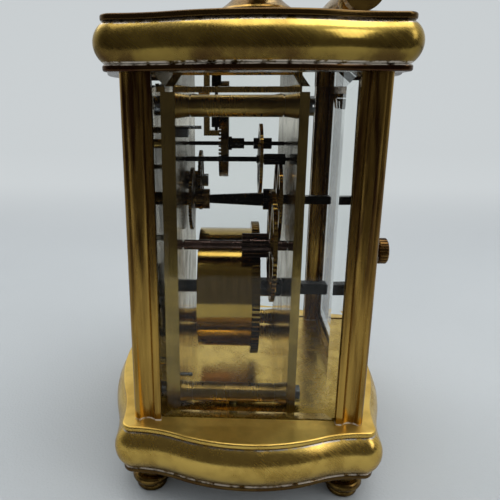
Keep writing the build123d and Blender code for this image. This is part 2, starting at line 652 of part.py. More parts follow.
# ---- handle -------------------------------------------------------------------------------
def make_handle_post(side):
    """Flared foot, slender neck, round knuckle bored for the pivot screw."""
    with BuildPart() as post:
        with BuildSketch(Plane.XZ):
            with BuildLine():
                Line((0, 0), (POST_FOOT_R, 0))
                Line((POST_FOOT_R, 0), (POST_FOOT_R, POST_FOOT_EDGE))
                Line((POST_FOOT_R, POST_FOOT_EDGE), (POST_FOOT_R - 0.4, POST_FOOT_EDGE + 0.4))
                ThreePointArc(
                    (POST_FOOT_R - 0.4, POST_FOOT_EDGE + 0.4),
                    (0.64 * POST_FOOT_R, 0.48 * POST_FLARE_HIGH),
                    (POST_NECK_R, POST_FLARE_HIGH),
                )
                Line((POST_NECK_R, POST_FLARE_HIGH), (POST_NECK_R, PIVOT_HEIGHT - 1.0))
                Line((POST_NECK_R, PIVOT_HEIGHT - 1.0), (0, PIVOT_HEIGHT - 1.0))
                Line((0, PIVOT_HEIGHT - 1.0), (0, 0))
            make_face()
        revolve(axis=Axis.Z)
    x = side * POST_X
    half = KNUCKLE_WIDTH / 2
    body = Pos(x, 0, TOP_Z) * post.part
    body &= block(x - POST_FOOT_R, x + POST_FOOT_R, -POST_FOOT_R, POST_FOOT_R, TOP_Z, PIVOT_Z)
    body += rod_x(0, PIVOT_Z, x - half, x + half, KNUCKLE_R)
    body += post_z(x, 0, TOP_Z - TOP_PLATE, TOP_Z, POST_NECK_R / 2)
    return body - rod_x(0, PIVOT_Z, x - POST_FOOT_R, x + POST_FOOT_R, PIVOT_PIN_R + FIT)


def make_handle_pins():
    """Shoulder screws: threaded in the posts, the arms turn on them."""
    pins = []
    for side in (-1, 1):
        inner = POST_X - KNUCKLE_WIDTH / 2
        outer = ARM_X + ARM_THICK + ARM_GAP
        ends = sorted((side * inner, side * outer))
        cap = sorted((side * outer, side * (outer + 1.2)))
        pins.append(rod_x(0, PIVOT_Z, *ends, PIVOT_PIN_R) + rod_x(0, PIVOT_Z, *cap, 2 * PIVOT_PIN_R))
    return pins


def arm_face():
    """Side view of one arm, folded back: eye, waisted curve, scroll end. Local x is Y, y is Z."""
    drop = PIVOT_HEIGHT - GRIP_HEIGHT
    eye = Circle(KNUCKLE_R)
    end = Pos(GRIP_BACK, -drop) * Circle(GRIP_END_R)
    upper = ThreePointArc((0, KNUCKLE_R), (GRIP_BACK * 0.55, 0.6), (GRIP_BACK + 1.0, GRIP_END_R - drop - 0.1))
    lower = ThreePointArc((GRIP_BACK - 3.9, -drop + 0.6), (GRIP_BACK * 0.5, -4.0), (0, -KNUCKLE_R))
    edges = [upper, Line(upper @ 1, lower @ 0), lower, Line(lower @ 1, upper @ 0)]
    return make_face(Wire(edges)) + eye + end


def make_handle_bail():
    """Two arms and a turned grip, lying back on the top."""
    grip_y = GRIP_BACK
    grip_z = TOP_Z + GRIP_HEIGHT
    arms = Part()
    for side in (-1, 1):
        inner = side * ARM_X
        place = Plane(origin=(inner, 0, PIVOT_Z), x_dir=(0, 1, 0), z_dir=(1, 0, 0))
        arm = extrude(place * arm_face(), amount=side * ARM_THICK)
        arms += arm - rod_x(0, PIVOT_Z, -ARM_X - ARM_THICK, ARM_X + ARM_THICK, PIVOT_PIN_R + RUN)
    reach = ARM_X + ARM_THICK / 2
    waist = 0.62 * GRIP_R
    with BuildPart() as grip:
        with BuildSketch(Plane.XZ):
            with BuildLine():
                Spline((GRIP_R, 0), (0.93 * GRIP_R, 0.35 * reach), (waist, 0.62 * reach))
                ThreePointArc((waist, 0.62 * reach), (0.98 * GRIP_R, 0.71 * reach), (waist, 0.8 * reach))
                Line((waist, 0.8 * reach), (0.86 * GRIP_R, reach))
                Line((0.86 * GRIP_R, reach), (0, reach))
                Line((0, reach), (0, 0))
                Line((0, 0), (GRIP_R, 0))
            make_face()
        revolve(axis=Axis.Z)
    half = Pos(0, grip_y, grip_z) * Rot(0, 90, 0) * grip.part
    other = Pos(0, grip_y, grip_z) * Rot(0, -90, 0) * grip.part
    return arms + half + other


# ---- movement frame -----------------------------------------------------------------------
def plate_holes(y0, y1, holes):
    return [rod_y(x, DECK_Z + z, y0, y1, r) for (x, z), r in holes]


def plate_pillar_places():
    return [(x, z) for x in (-PLATE_PILLAR_X, PLATE_PILLAR_X) for z in (PLATE_PILLAR_LOW, PLATE_PILLAR_HIGH)]


def plate(y0, y1, holes):
    body = block(-PLATE_HALF_WIDTH, PLATE_HALF_WIDTH, y0, y1, DECK_Z, PLATE_TOP)
    for place in plate_pillar_places():
        body -= rod_y(place[0], DECK_Z + place[1], y0, y1, SCREW_R + FIT)
    for hole in plate_holes(y0, y1, holes):
        body -= hole
    return body


def make_front_plate():
    holes = (
        (BARREL_AT, BARREL_PIVOT_FRONT_R + RUN),
        (INTERMEDIATE_AT, INTERMEDIATE_PIVOT_R + RUN),
        (CENTRE_AT, HOUR_PIPE_R + RUN),
        (THIRD_AT, THIRD_PIVOT_R + RUN),
        (CONTRATE_AT, PIVOT_R + RUN),
        (MINUTE_AT, MINUTE_STUD_R + FIT),
    )
    return plate(PLATE_FRONT, FRONT_PLATE_Y, holes)


def make_back_plate():
    holes = (
        (BARREL_AT, BARREL_PIVOT_BACK_R + RUN),
        (INTERMEDIATE_AT, INTERMEDIATE_PIVOT_R + RUN),
        (CENTRE_AT, CENTRE_PIVOT_R + RUN),
        (THIRD_AT, THIRD_PIVOT_R + RUN),
        (CONTRATE_AT, PIVOT_R + RUN),
    )
    return plate(BACK_PLATE_Y, PLATE_BACK, holes)


def make_plate_pillars():
    """Turned pillars: trumpet ends set off by fine ring grooves."""
    pillars = []
    for x, z in plate_pillar_places():
        height = DECK_Z + z
        body = rod_y(x, height, FRONT_PLATE_Y, BACK_PLATE_Y, PLATE_PILLAR_R)
        ends = ((FRONT_PLATE_Y, 1, 90), (BACK_PLATE_Y, -1, -90))
        for y, inward, turn in ends:
            cone = Cone(PLATE_PILLAR_R, PLATE_PILLAR_END_R, 2.6, align=LOW)
            body += Pos(x, y + inward * 2.6, height) * Rot(turn, 0, 0) * cone
            ring_y = y + inward * 3.4
            ring = rod_y(x, height, ring_y - 0.2, ring_y + 0.2, PLATE_PILLAR_END_R)
            body -= ring - rod_y(x, height, ring_y - 0.2, ring_y + 0.2, PLATE_PILLAR_R - 0.35)
        for y0, y1 in ((FRONT_PLATE_Y, FRONT_PLATE_Y + 5), (BACK_PLATE_Y - 5, BACK_PLATE_Y)):
            body -= rod_y(x, height, y0, y1, SCREW_R + FIT)
        if z == PLATE_PILLAR_LOW:
            body -= post_z(x, hold_down_y(), DECK_Z, height, SCREW_R + FIT)
        pillars.append(body)
    return pillars


def make_plate_screws():
    screws = []
    for x, z in plate_pillar_places():
        height = DECK_Z + z
        for face, out in ((PLATE_FRONT, -1), (PLATE_BACK, 1)):
            shank = sorted((face, face - out * (PLATE_THICK + HOLD_LENGTH)))
            head = sorted((face, face + out * SCREW_HEAD))
            screw = rod_y(x, height, *shank, SCREW_R) + rod_y(x, height, *head, SCREW_HEAD_R)
            slot = Pos(x, face + out * SCREW_HEAD, height) * Box(2.2 * SCREW_HEAD_R, 1.2, 0.6)
            screws.append(screw - slot)
    return screws


def make_movement_screws():
    """From the hollow under the base, up into the lower pillars."""
    under = DECK_Z - DECK_THICK
    screws = []
    for x in (-PLATE_PILLAR_X, PLATE_PILLAR_X):
        shank = post_z(x, hold_down_y(), under, DECK_Z + PLATE_PILLAR_LOW - 0.2, SCREW_R)
        head = post_z(x, hold_down_y(), under - SCREW_HEAD, under, SCREW_HEAD_R)
        slot = Pos(x, hold_down_y(), under - SCREW_HEAD) * Box(0.6, 2.2 * SCREW_HEAD_R, 1.2)
        screws.append(shank + head - slot)
    return screws


def make_front_plate_fittings():
    """Contrate stop block with its screw, and a steady pin, all on the front plate."""
    y = FRONT_PLATE_Y
    stop = block(18.5, 22.0, y, y + 2.3, DECK_Z + 72.9, DECK_Z + 74.9)
    screw = rod_y(20.2, DECK_Z + 75.3, y, y + 5.6, 0.45)
    pin = rod_y(25.0, DECK_Z + 7.6, y, y + 3.0, 0.5)
    return [stop + screw, pin]


# ---- barrel -------------------------------------------------------------------------------
def make_barrel():
    x, z = BARREL_AT[0], DECK_Z + BARREL_AT[1]
    ring, _ = meshed_pair(BARREL_AT, INTERMEDIATE_AT, BARREL_TEETH, INTERMEDIATE_PINION)
    rim = slab_y(ring, x, z, BARREL_Y[1], BARREL_Y[1] + BARREL_RIM)
    body = rod_y(x, z, *BARREL_Y, BARREL_R) + rim
    inner = BARREL_R - BARREL_WALL
    body -= rod_y(x, z, BARREL_Y[0] + BARREL_WALL, BARREL_Y[1] + BARREL_RIM, inner)
    seat_y = BARREL_Y[1] + BARREL_RIM - BARREL_COVER
    body -= rod_y(x, z, seat_y, BARREL_Y[1] + BARREL_RIM, inner + 0.8)
    return body - rod_y(x, z, BARREL_Y[0], BARREL_Y[0] + BARREL_WALL, BARREL_PIVOT_FRONT_R + RUN)


def make_barrel_cover():
    x, z = BARREL_AT[0], DECK_Z + BARREL_AT[1]
    back = BARREL_Y[1] + BARREL_RIM
    cover = rod_y(x, z, back - BARREL_COVER, back, BARREL_R - BARREL_WALL + 0.8 - FIT)
    lever_slot = Pos(x, back, z + BARREL_R - BARREL_WALL) * Box(3.0, 0.8, 2.6)
    return cover - rod_y(x, z, back - BARREL_COVER, back, BARREL_ARBOR_R + RUN) - lever_slot


def make_mainspring():
    """The coiled spring, as one packed ring against the barrel wall."""
    x, z = BARREL_AT[0], DECK_Z + BARREL_AT[1]
    y0 = BARREL_Y[0] + BARREL_WALL + 0.3
    y1 = BARREL_Y[1] + BARREL_RIM - BARREL_COVER - 0.3
    ring = Circle(BARREL_R - BARREL_WALL - SEAT) - Circle(SPRING_INNER_R)
    return slab_y(ring, x, z, y0, y1)


def make_barrel_arbor():
    x, z = BARREL_AT[0], DECK_Z + BARREL_AT[1]
    hub_front = BARREL_Y[0] + BARREL_WALL + 0.2
    hub_back = BARREL_Y[1] + BARREL_RIM - BARREL_COVER - 0.2
    body = arbor(BARREL_AT, (
        (PLATE_FRONT, hub_front, BARREL_PIVOT_FRONT_R),
        (hub_front, hub_back, BARREL_HUB_R),
        (hub_back, BACK_PLATE_Y - 0.2, BARREL_ARBOR_R),
        (BACK_PLATE_Y - 0.2, PLATE_BACK + 0.8, BARREL_PIVOT_BACK_R),
    ))
    front_square = (RATCHET_Y[0] - 0.2 + PLATE_FRONT) / 2
    body += Pos(x, front_square, z) * Box(RATCHET_SQUARE, PLATE_FRONT - RATCHET_Y[0] + 0.2, RATCHET_SQUARE)
    square_length = WINDING_END - PLATE_BACK - 0.8
    square = Pos(x, WINDING_END - square_length / 2, z) * Box(WINDING_SQUARE, square_length, WINDING_SQUARE)
    return body + chamfer(square.faces().sort_by(Axis.Y)[-1].edges(), 0.4)


def make_ratchet_wheel():
    x, z = BARREL_AT[0], DECK_Z + BARREL_AT[1]
    points = []
    step = 2 * math.pi / RATCHET_TEETH
    for tooth in range(RATCHET_TEETH):
        for r, angle in ((RATCHET_R, tooth * step), (RATCHET_R - 1.0, (tooth + 0.12) * step)):
            points.append((r * math.cos(angle), r * math.sin(angle)))
    side = RATCHET_SQUARE + 2 * FIT
    face = make_face(Polyline(*points, close=True)) - Rectangle(side, side)
    return slab_y(face, x, z, *RATCHET_Y)


def click_pivot():
    return (BARREL_AT[0] + 11.5, BARREL_AT[1] - 2.5)


def make_click():
    """Pawl beside the ratchet wheel, its nose just clear of the teeth."""
    px, pz = click_pivot()
    dx, dz = px - BARREL_AT[0], pz - BARREL_AT[1]
    nose_r = RATCHET_R + CLICK_GAP
    nose_angle = math.radians(42.0)
    nose = (nose_r * math.cos(nose_angle) - dx, nose_r * math.sin(nose_angle) - dz)
    back = ((nose_r + 1.8) * math.cos(nose_angle) - dx, (nose_r + 1.8) * math.sin(nose_angle) - dz)
    body = make_face(Polyline((-1.1, -0.6), (1.5, 0.0), back, nose, close=True)) + Circle(1.7)
    return slab_y(body - Circle(0.8 + RUN), px, DECK_Z + pz, *RATCHET_Y)


def make_click_spring():
    """Bent blade behind the click, its foot pinned to the front plate; the click's stud with it."""
    px, pz = click_pivot()
    stud = arbor((px, pz), ((RATCHET_Y[0] - 0.3, PLATE_FRONT, 0.8),))
    foot = (px + 3.5, pz - 7.0)
    blade = Polyline((0, 0), (1.6, 4.6), (0.9, 9.5), (1.3, 9.5), (2.1, 4.4), (0.9, 0), close=True)
    spring = slab_y(make_face(blade), foot[0] - 0.4, DECK_Z + foot[1], *RATCHET_Y)
    spring += arbor(foot, ((RATCHET_Y[0], PLATE_FRONT, 1.1),))
    return [stud, spring]


# ---- going train --------------------------------------------------------------------------
def wheel_on(at, outline, pitch_r, hub, bore, span, spokes=5):
    face = crossed_wheel(outline, pitch_r, hub, spokes, bore)
    return slab_y(face, at[0], DECK_Z + at[1], *span)


def make_intermediate_wheel():
    ring, _ = meshed_pair(INTERMEDIATE_AT, CENTRE_AT, INTERMEDIATE_TEETH, CENTRE_PINION)
    radius = pitch_radius(INTERMEDIATE_TEETH, CENTRE_PINION, distance(INTERMEDIATE_AT, CENTRE_AT))
    return wheel_on(INTERMEDIATE_AT, ring, radius, HUB_R, INTERMEDIATE_SEAT_R + FIT, INTERMEDIATE_Y)


def make_intermediate_arbor():
    _, leaves = meshed_pair(BARREL_AT, INTERMEDIATE_AT, BARREL_TEETH, INTERMEDIATE_PINION)
    x, z = INTERMEDIATE_AT[0], DECK_Z + INTERMEDIATE_AT[1]
    body = arbor(INTERMEDIATE_AT, (
        (PLATE_FRONT + 0.2, FRONT_PLATE_Y + 0.2, INTERMEDIATE_PIVOT_R),
        (FRONT_PLATE_Y + 0.2, INTERMEDIATE_PINION_Y[1], 1.4),
        (INTERMEDIATE_PINION_Y[1], INTERMEDIATE_Y[1] + 0.2, INTERMEDIATE_SEAT_R),
        (INTERMEDIATE_Y[1], BACK_PLATE_Y - 0.2, 1.4),
        (BACK_PLATE_Y - 0.2, PLATE_BACK - 0.2, INTERMEDIATE_PIVOT_R),
    ))
    return body + slab_y(leaves, x, z, *INTERMEDIATE_PINION_Y)


def make_centre_wheel():
    ring, _ = meshed_pair(CENTRE_AT, THIRD_AT, CENTRE_TEETH, THIRD_PINION)
    radius = pitch_radius(CENTRE_TEETH, THIRD_PINION, distance(CENTRE_AT, THIRD_AT))
    return wheel_on(CENTRE_AT, ring, radius, HUB_R, CENTRE_SEAT_R + FIT, CENTRE_WHEEL_Y)


def make_centre_arbor():
    """Long tapered arbor from the dial to the setting square at the back."""
    _, leaves = meshed_pair(INTERMEDIATE_AT, CENTRE_AT, INTERMEDIATE_TEETH, CENTRE_PINION)
    x, z = CENTRE_AT[0], DECK_Z + CENTRE_AT[1]
    taper_front, taper_back = CANNON_COLLET_Y[1], CENTRE_PINION_Y[0]
    body = arbor(CENTRE_AT, (
        (MINUTE_HAND_Y[0] - 0.25, taper_front, CENTRE_FRONT_R),
        (CENTRE_PINION_Y[1], CENTRE_WHEEL_Y[1] + 0.2, CENTRE_SEAT_R),
        (CENTRE_WHEEL_Y[1] + 0.2, PLATE_BACK + 1.5, CENTRE_PIVOT_R),
    ))
    taper = Cone(1.3, 2.05, taper_back - taper_front, align=LOW)
    body += Pos(x, taper_front, z) * Rot(-90, 0, 0) * taper
    body += slab_y(leaves, x, z, *CENTRE_PINION_Y)
    length = SETTING_END - PLATE_BACK - 1.5
    square = Pos(x, SETTING_END - length / 2, z) * Box(SETTING_SQUARE, length, SETTING_SQUARE)
    return body + chamfer(square.faces().sort_by(Axis.Y)[-1].edges(), 0.3)


def make_cannon_pinion():
    """Friction collet and leaves on the centre arbor; its pipe carries the minute hand."""
    leaves, _ = motion_pair(CANNON_TEETH, MINUTE_TEETH)
    x, z = CENTRE_AT[0], DECK_Z + CENTRE_AT[1]
    body = slab_y(leaves, x, z, *CANNON_Y)
    body += arbor(CENTRE_AT, (
        (CANNON_COLLET_Y[0], CANNON_COLLET_Y[1], 3.0),
        (MINUTE_HAND_Y[0], CANNON_Y[1], CANNON_PIPE_R),
    ))
    return body - rod_y(x, z, MINUTE_HAND_Y[0], CANNON_COLLET_Y[1], CENTRE_FRONT_R + FIT)


def motion_pair(centre_count, minute_count):
    """Outlines on the centre axis and on the minute stud, in mesh with each other."""
    centres = distance(CENTRE_AT, MINUTE_AT)
    module = 2 * centres / (centre_count + minute_count)
    angle = heading(CENTRE_AT, MINUTE_AT)
    widths = ((WHEEL_ROOT, WHEEL_TIP), (LEAF_ROOT, LEAF_TIP))
    if centre_count < minute_count:
        widths = widths[::-1]
    r_centre = pitch_radius(centre_count, minute_count, centres)
    r_minute = pitch_radius(minute_count, centre_count, centres)
    on_centre = tooth_ring(centre_count, r_centre, module, *widths[0], angle)
    gap_first = angle + math.pi + math.pi / minute_count
    on_minute = tooth_ring(minute_count, r_minute, module, *widths[1], gap_first)
    return on_centre, on_minute


def make_minute_wheel():
    """Minute wheel with its long pinion, turning on a stud in the front plate."""
    x, z = MINUTE_AT[0], DECK_Z + MINUTE_AT[1]
    _, ring = motion_pair(CANNON_TEETH, MINUTE_TEETH)
    _, leaves = motion_pair(HOUR_TEETH, MINUTE_PINION)
    radius = pitch_radius(MINUTE_TEETH, CANNON_TEETH, distance(CENTRE_AT, MINUTE_AT))
    wheel = crossed_wheel(ring, radius, HUB_R, 4, MINUTE_STUD_R + RUN)
    body = slab_y(wheel, x, z, *MINUTE_WHEEL_Y)
    body += slab_y(leaves, x, z, FRONT_PLATE_Y + PINION_GAP, MINUTE_WHEEL_Y[0])
    return body - rod_y(x, z, FRONT_PLATE_Y, MINUTE_WHEEL_Y[1], MINUTE_STUD_R + RUN)


def make_minute_stud():
    return arbor(MINUTE_AT, (
        (PLATE_FRONT, MINUTE_WHEEL_Y[1] + 0.1, MINUTE_STUD_R),
        (MINUTE_WHEEL_Y[1] + 0.1, MINUTE_WHEEL_Y[1] + 1.9, 2 * MINUTE_STUD_R),
    ))


def make_hour_wheel():
    """Hour wheel behind the front plate; its pipe passes through to the hour hand."""
    x, z = CENTRE_AT[0], DECK_Z + CENTRE_AT[1]
    ring, _ = motion_pair(HOUR_TEETH, MINUTE_PINION)
    body = slab_y(ring, x, z, *HOUR_WHEEL_Y)
    body += arbor(CENTRE_AT, ((HOUR_HAND_Y[0], HOUR_WHEEL_Y[0], HOUR_PIPE_R),))
    return body - rod_y(x, z, HOUR_HAND_Y[0], HOUR_WHEEL_Y[1], CANNON_PIPE_R + RUN)


def make_third_wheel():
    ring, _ = meshed_pair(THIRD_AT, CONTRATE_AT, THIRD_TEETH, CONTRATE_PINION)
    radius = pitch_radius(THIRD_TEETH, CONTRATE_PINION, distance(THIRD_AT, CONTRATE_AT))
    return wheel_on(THIRD_AT, ring, radius, 2 * THIRD_SEAT_R, THIRD_SEAT_R + FIT, THIRD_Y)


def make_third_arbor():
    _, leaves = meshed_pair(CENTRE_AT, THIRD_AT, CENTRE_TEETH, THIRD_PINION)
    x, z = THIRD_AT[0], DECK_Z + THIRD_AT[1]
    body = arbor(THIRD_AT, (
        (PLATE_FRONT + 0.3, FRONT_PLATE_Y + 0.2, THIRD_PIVOT_R),
        (FRONT_PLATE_Y + 0.2, THIRD_Y[0] - 0.6, 0.7),
        (THIRD_Y[0] - 0.6, THIRD_PINION_Y[0], THIRD_SEAT_R),
        (THIRD_PINION_Y[1], BACK_PLATE_Y + 0.1, THIRD_PIVOT_R),
        (BACK_PLATE_Y, PLATE_BACK - 0.3, THIRD_PIVOT_R),
    ))
    return body + slab_y(leaves, x, z, *THIRD_PINION_Y)


def make_contrate_wheel():
    """Crown-like wheel: a rim whose teeth stand towards the front."""
    x, z = CONTRATE_AT[0], DECK_Z + CONTRATE_AT[1]
    inner = CONTRATE_R - CONTRATE_BAND
    rim = slab_y(Circle(CONTRATE_R) - Circle(inner), x, z, *CONTRATE_Y)
    web_face = Circle(inner + 0.2) - crossings(inner - 0.6, 2.2, 4) - Circle(0.9 + FIT)
    body = rim + slab_y(web_face, x, z, CONTRATE_Y[1] - 0.9, CONTRATE_Y[1])
    step = 360.0 / CONTRATE_TEETH
    width = LEAF_ROOT * 2 * math.pi * (CONTRATE_R - CONTRATE_BAND / 2) / CONTRATE_TEETH
    tooth = Box(CONTRATE_BAND - 0.1, CONTRATE_TOOTH + 0.2, width)
    mid_y = (CONTRATE_FRONT + CONTRATE_Y[0] + 0.2) / 2
    teeth = []
    for count in range(CONTRATE_TEETH):
        turn = Pos(x, mid_y, z) * Rot(0, 90 + step * count, 0)
        teeth.append(turn * Pos(CONTRATE_R - CONTRATE_BAND / 2, 0, 0) * tooth)
    return body + teeth


def make_contrate_arbor():
    _, leaves = meshed_pair(THIRD_AT, CONTRATE_AT, THIRD_TEETH, CONTRATE_PINION)
    x, z = CONTRATE_AT[0], DECK_Z + CONTRATE_AT[1]
    body = arbor(CONTRATE_AT, (
        (PLATE_FRONT + 0.4, FRONT_PLATE_Y + 0.2, PIVOT_R),
        (FRONT_PLATE_Y + 0.2, CONTRATE_Y[1] - 0.9, 0.6),
        (CONTRATE_Y[1] - 0.9, CONTRATE_Y[1], 0.9),
        (CONTRATE_Y[1], CONTRATE_Y[1] + 1.0, 2.0),
        (CONTRATE_Y[1] + 1.0, CONTRATE_Y[1] + 4.7, 1.55),
        (CONTRATE_Y[1] + 4.7, BACK_PLATE_Y - 0.2, 0.6),
        (BACK_PLATE_Y - 0.2, PLATE_BACK - 0.4, PIVOT_R),
    ))
    return body + slab_y(leaves, x, z, *CONTRATE_PINION_Y)


# ---- dial ---------------------------------------------------------------------------------
def make_dial():
    """Enamel disc on two feet that stand on the front plate."""
    x, z = CENTRE_AT[0], DECK_Z + CENTRE_AT[1]
    body = rod_y(x, z, DIAL_BACK_Y - DIAL_THICK, DIAL_BACK_Y, DIAL_R)
    body = fillet(body.faces().sort_by(Axis.Y)[0].edges(), 0.4)
    body -= rod_y(x, z, DIAL_BACK_Y - DIAL_THICK, DIAL_BACK_Y, HOUR_PIPE_R + 0.4)
    for foot in ((x - 20, z + 7), (x + 20, z - 7)):
        body += rod_y(*foot, DIAL_BACK_Y, PLATE_FRONT, 0.8)
    return body


def make_dial_mask():
    """Gilt plate that fills the front around the dial, on four short posts."""
    half = INNER_X - DOOR_GAP
    y0, y1 = DIAL_BACK_Y - MASK_THICK, DIAL_BACK_Y
    body = block(-half, half, y0, y1, DECK_Z + DOOR_GAP, CORNICE_Z - DOOR_GAP)
    body -= rod_y(CENTRE_AT[0], DECK_Z + CENTRE_AT[1], y0, y1, DIAL_R + SEAT)
    for x in (-PLATE_PILLAR_X, PLATE_PILLAR_X):
        for z in (PLATE_PILLAR_LOW + 9, PLATE_PILLAR_HIGH - 9):
            body += rod_y(x, DECK_Z + z, DIAL_BACK_Y, PLATE_FRONT, 1.1)
    return body


def hand(length, blade, boss, bore):
    """Spade-like hand pointing up."""
    face = Pos(0, length * 0.45) * Rectangle(blade, length * 0.9) + Circle(boss)
    tip = make_face(Polyline((-blade, length * 0.7), (blade, length * 0.7), (0, length), close=True))
    return face + Pos(0, length * 0.66) * Circle(1.6 * blade) + tip - Circle(bore)


def make_minute_hand():
    face = hand(MINUTE_HAND_LENGTH, 0.9, 2.2, CANNON_PIPE_R + FIT)
    return slab_y(Rot(0, 0, -60) * face, CENTRE_AT[0], DECK_Z + CENTRE_AT[1], *MINUTE_HAND_Y)


def make_hour_hand():
    face = hand(HOUR_HAND_LENGTH, 1.1, 2.8, HOUR_PIPE_R + FIT)
    return slab_y(Rot(0, 0, 55) * face, CENTRE_AT[0], DECK_Z + CENTRE_AT[1], *HOUR_HAND_Y)


# ---- platform escapement ------------------------------------------------------------------
def along_line(start, run, across=0.0):
    """Point at a run along the escapement's line from a start, and a step across it."""
    return (start[0] + run * LINE[0] - across * LINE[1], start[1] + run * LINE[1] + across * LINE[0])


def platform_screw_places():
    inset = 2.0
    mid_front = (PLATE_FRONT + FRONT_PLATE_Y) / 2
    mid_back = (BACK_PLATE_Y + PLATE_BACK) / 2
    reach = PLATFORM_HALF_X - inset
    return ((-reach, mid_front), (reach, mid_front), (-reach, mid_back), (reach, mid_back))


def make_platform():
    body = block(-PLATFORM_HALF_X, PLATFORM_HALF_X, PLATE_FRONT, PLATE_BACK, PLATE_TOP, PLATFORM_TOP)
    for x, y in platform_screw_places():
        body -= post_z(x, y, PLATE_TOP, PLATFORM_TOP, 0.7 + FIT)
    body -= post_z(*ESCAPE_AT, PLATE_TOP, PLATFORM_TOP, ESCAPE_PINION_R + 0.4)
    body -= post_z(*PALLET_AT, PLATE_TOP, PLATFORM_TOP, PIVOT_R + RUN)
    return body - post_z(*BALANCE_AT, PLATE_TOP, PLATFORM_TOP, PIVOT_R + RUN)


def make_platform_screws():
    """Short screws whose shanks end in the platform, heads on top."""
    screws = []
    for x, y in platform_screw_places():
        head = post_z(x, y, PLATFORM_TOP, PLATFORM_TOP + 0.8, 1.3)
        head -= Pos(x, y, PLATFORM_TOP + 0.8) * Box(3.0, 0.35, 0.6)
        screws.append(head + post_z(x, y, PLATE_TOP, PLATFORM_TOP, 0.7))
    return screws


def make_potence():
    """Hanging bracket in front of the escape pinion, with a foot under it for the lower pivot."""
    x, y = ESCAPE_AT
    front = y - ESCAPE_PINION_R - 2.2
    foot_z, half = DECK_Z + POTENCE_FOOT, POTENCE_WIDTH / 2
    arm = block(x - half, x + half, front, front + 1.7, foot_z, PLATE_TOP)
    foot = block(x - half, x + half, front, y + 0.9, foot_z, foot_z + 1.5)
    cap = block(x - half, x + half, front - 1.5, front + 1.7, PLATE_TOP - 1.2, PLATE_TOP)
    return arm + foot + cap - post_z(x, y, foot_z, foot_z + 1.5, PIVOT_R + RUN)


def make_escape_wheel():
    """Vertical arbor: pinion in mesh with the contrate wheel, escape wheel on the platform."""
    x, y = ESCAPE_AT
    step = 2 * math.pi / ESCAPE_TEETH
    points = []
    for tooth in range(ESCAPE_TEETH):
        for r, share in ((ESCAPE_R - 1.1, 0.0), (ESCAPE_R, 0.62), (ESCAPE_R, 0.82), (ESCAPE_R - 1.1, 0.7)):
            angle = (tooth + share) * step
            points.append((r * math.cos(angle), r * math.sin(angle)))
    wheel = make_face(Polyline(*points, close=True)) - crossings(ESCAPE_R - 1.7, 0.9, 4)
    low, high = (PLATFORM_TOP + level for level in LEVEL_ESCAPE)
    body = slab_z(wheel, x, y, low, high)
    module = ESCAPE_PINION_R / (ESCAPE_PINION / 2 + ADDENDUM)
    start = math.pi / 2 + math.pi / ESCAPE_PINION
    leaves = tooth_ring(ESCAPE_PINION, ESCAPE_PINION * module / 2, module, 0.36, 0.18, start)
    foot_z = DECK_Z + POTENCE_FOOT
    body += slab_z(leaves, x, y, foot_z + 2.4, PLATE_TOP - 1.5)
    body += post_z(x, y, foot_z + 1.6, PLATFORM_TOP + LEVEL_ESCAPE_COCK[0] - 0.1, 0.5)
    return body + post_z(x, y, foot_z + 0.2, PLATFORM_TOP + LEVEL_ESCAPE_COCK[1] - 0.1, PIVOT_R - 0.05)


def make_lever():
    """Pallet lever: two pallet arms beside the escape wheel, a tail with the fork."""
    low, high = (PLATFORM_TOP + level for level in LEVEL_ESCAPE)
    reach = ESCAPE_R + 0.35
    spread = math.radians(38.0)
    face = Circle(0.9) + Pos(1.9, 0) * Rectangle(3.8, 0.7)
    for side in (-1, 1):
        tip = (reach * math.cos(spread) - PALLET_DISTANCE, side * reach * math.sin(spread))
        out = (tip[0] + 0.7, tip[1] + side * 0.45)
        face += make_face(Polyline((0, 0.4 * side), (-0.2, -0.4 * side), tip, out, close=True))
    face += Pos(4.0, 0) * (Rectangle(0.9, 1.6) - Pos(0.3, 0) * Rectangle(0.9, 0.7))
    face = Rot(0, 0, ESCAPEMENT_TURN) * face
    body = slab_z(face, *PALLET_AT, low, high)
    return body + post_z(*PALLET_AT, PLATE_TOP + 0.2, PLATFORM_TOP + LEVEL_ESCAPE_COCK[1] - 0.2, PIVOT_R)


def rounded_bar(a, b, r):
    """Bar with round ends between two points, as a face."""
    middle = Pos((a[0] + b[0]) / 2, (a[1] + b[1]) / 2)
    turn = math.degrees(math.atan2(b[1] - a[1], b[0] - a[0]))
    return middle * Rot(0, 0, turn) * SlotCenterToCenter(distance(a, b), 2 * r)


def make_escape_cock():
    """Small bridge over the escape and pallet pivots, on one foot."""
    low, high = (PLATFORM_TOP + level for level in LEVEL_ESCAPE_COCK)
    foot = along_line(ESCAPE_AT, -ESCAPE_R - 2.3)
    body = slab_z(rounded_bar(foot, PALLET_AT, 1.5), 0, 0, low, high)
    body += post_z(*foot, PLATFORM_TOP, low, 1.5)
    for place in (ESCAPE_AT, PALLET_AT):
        body -= post_z(*place, low, high, PIVOT_R + RUN)
    return body


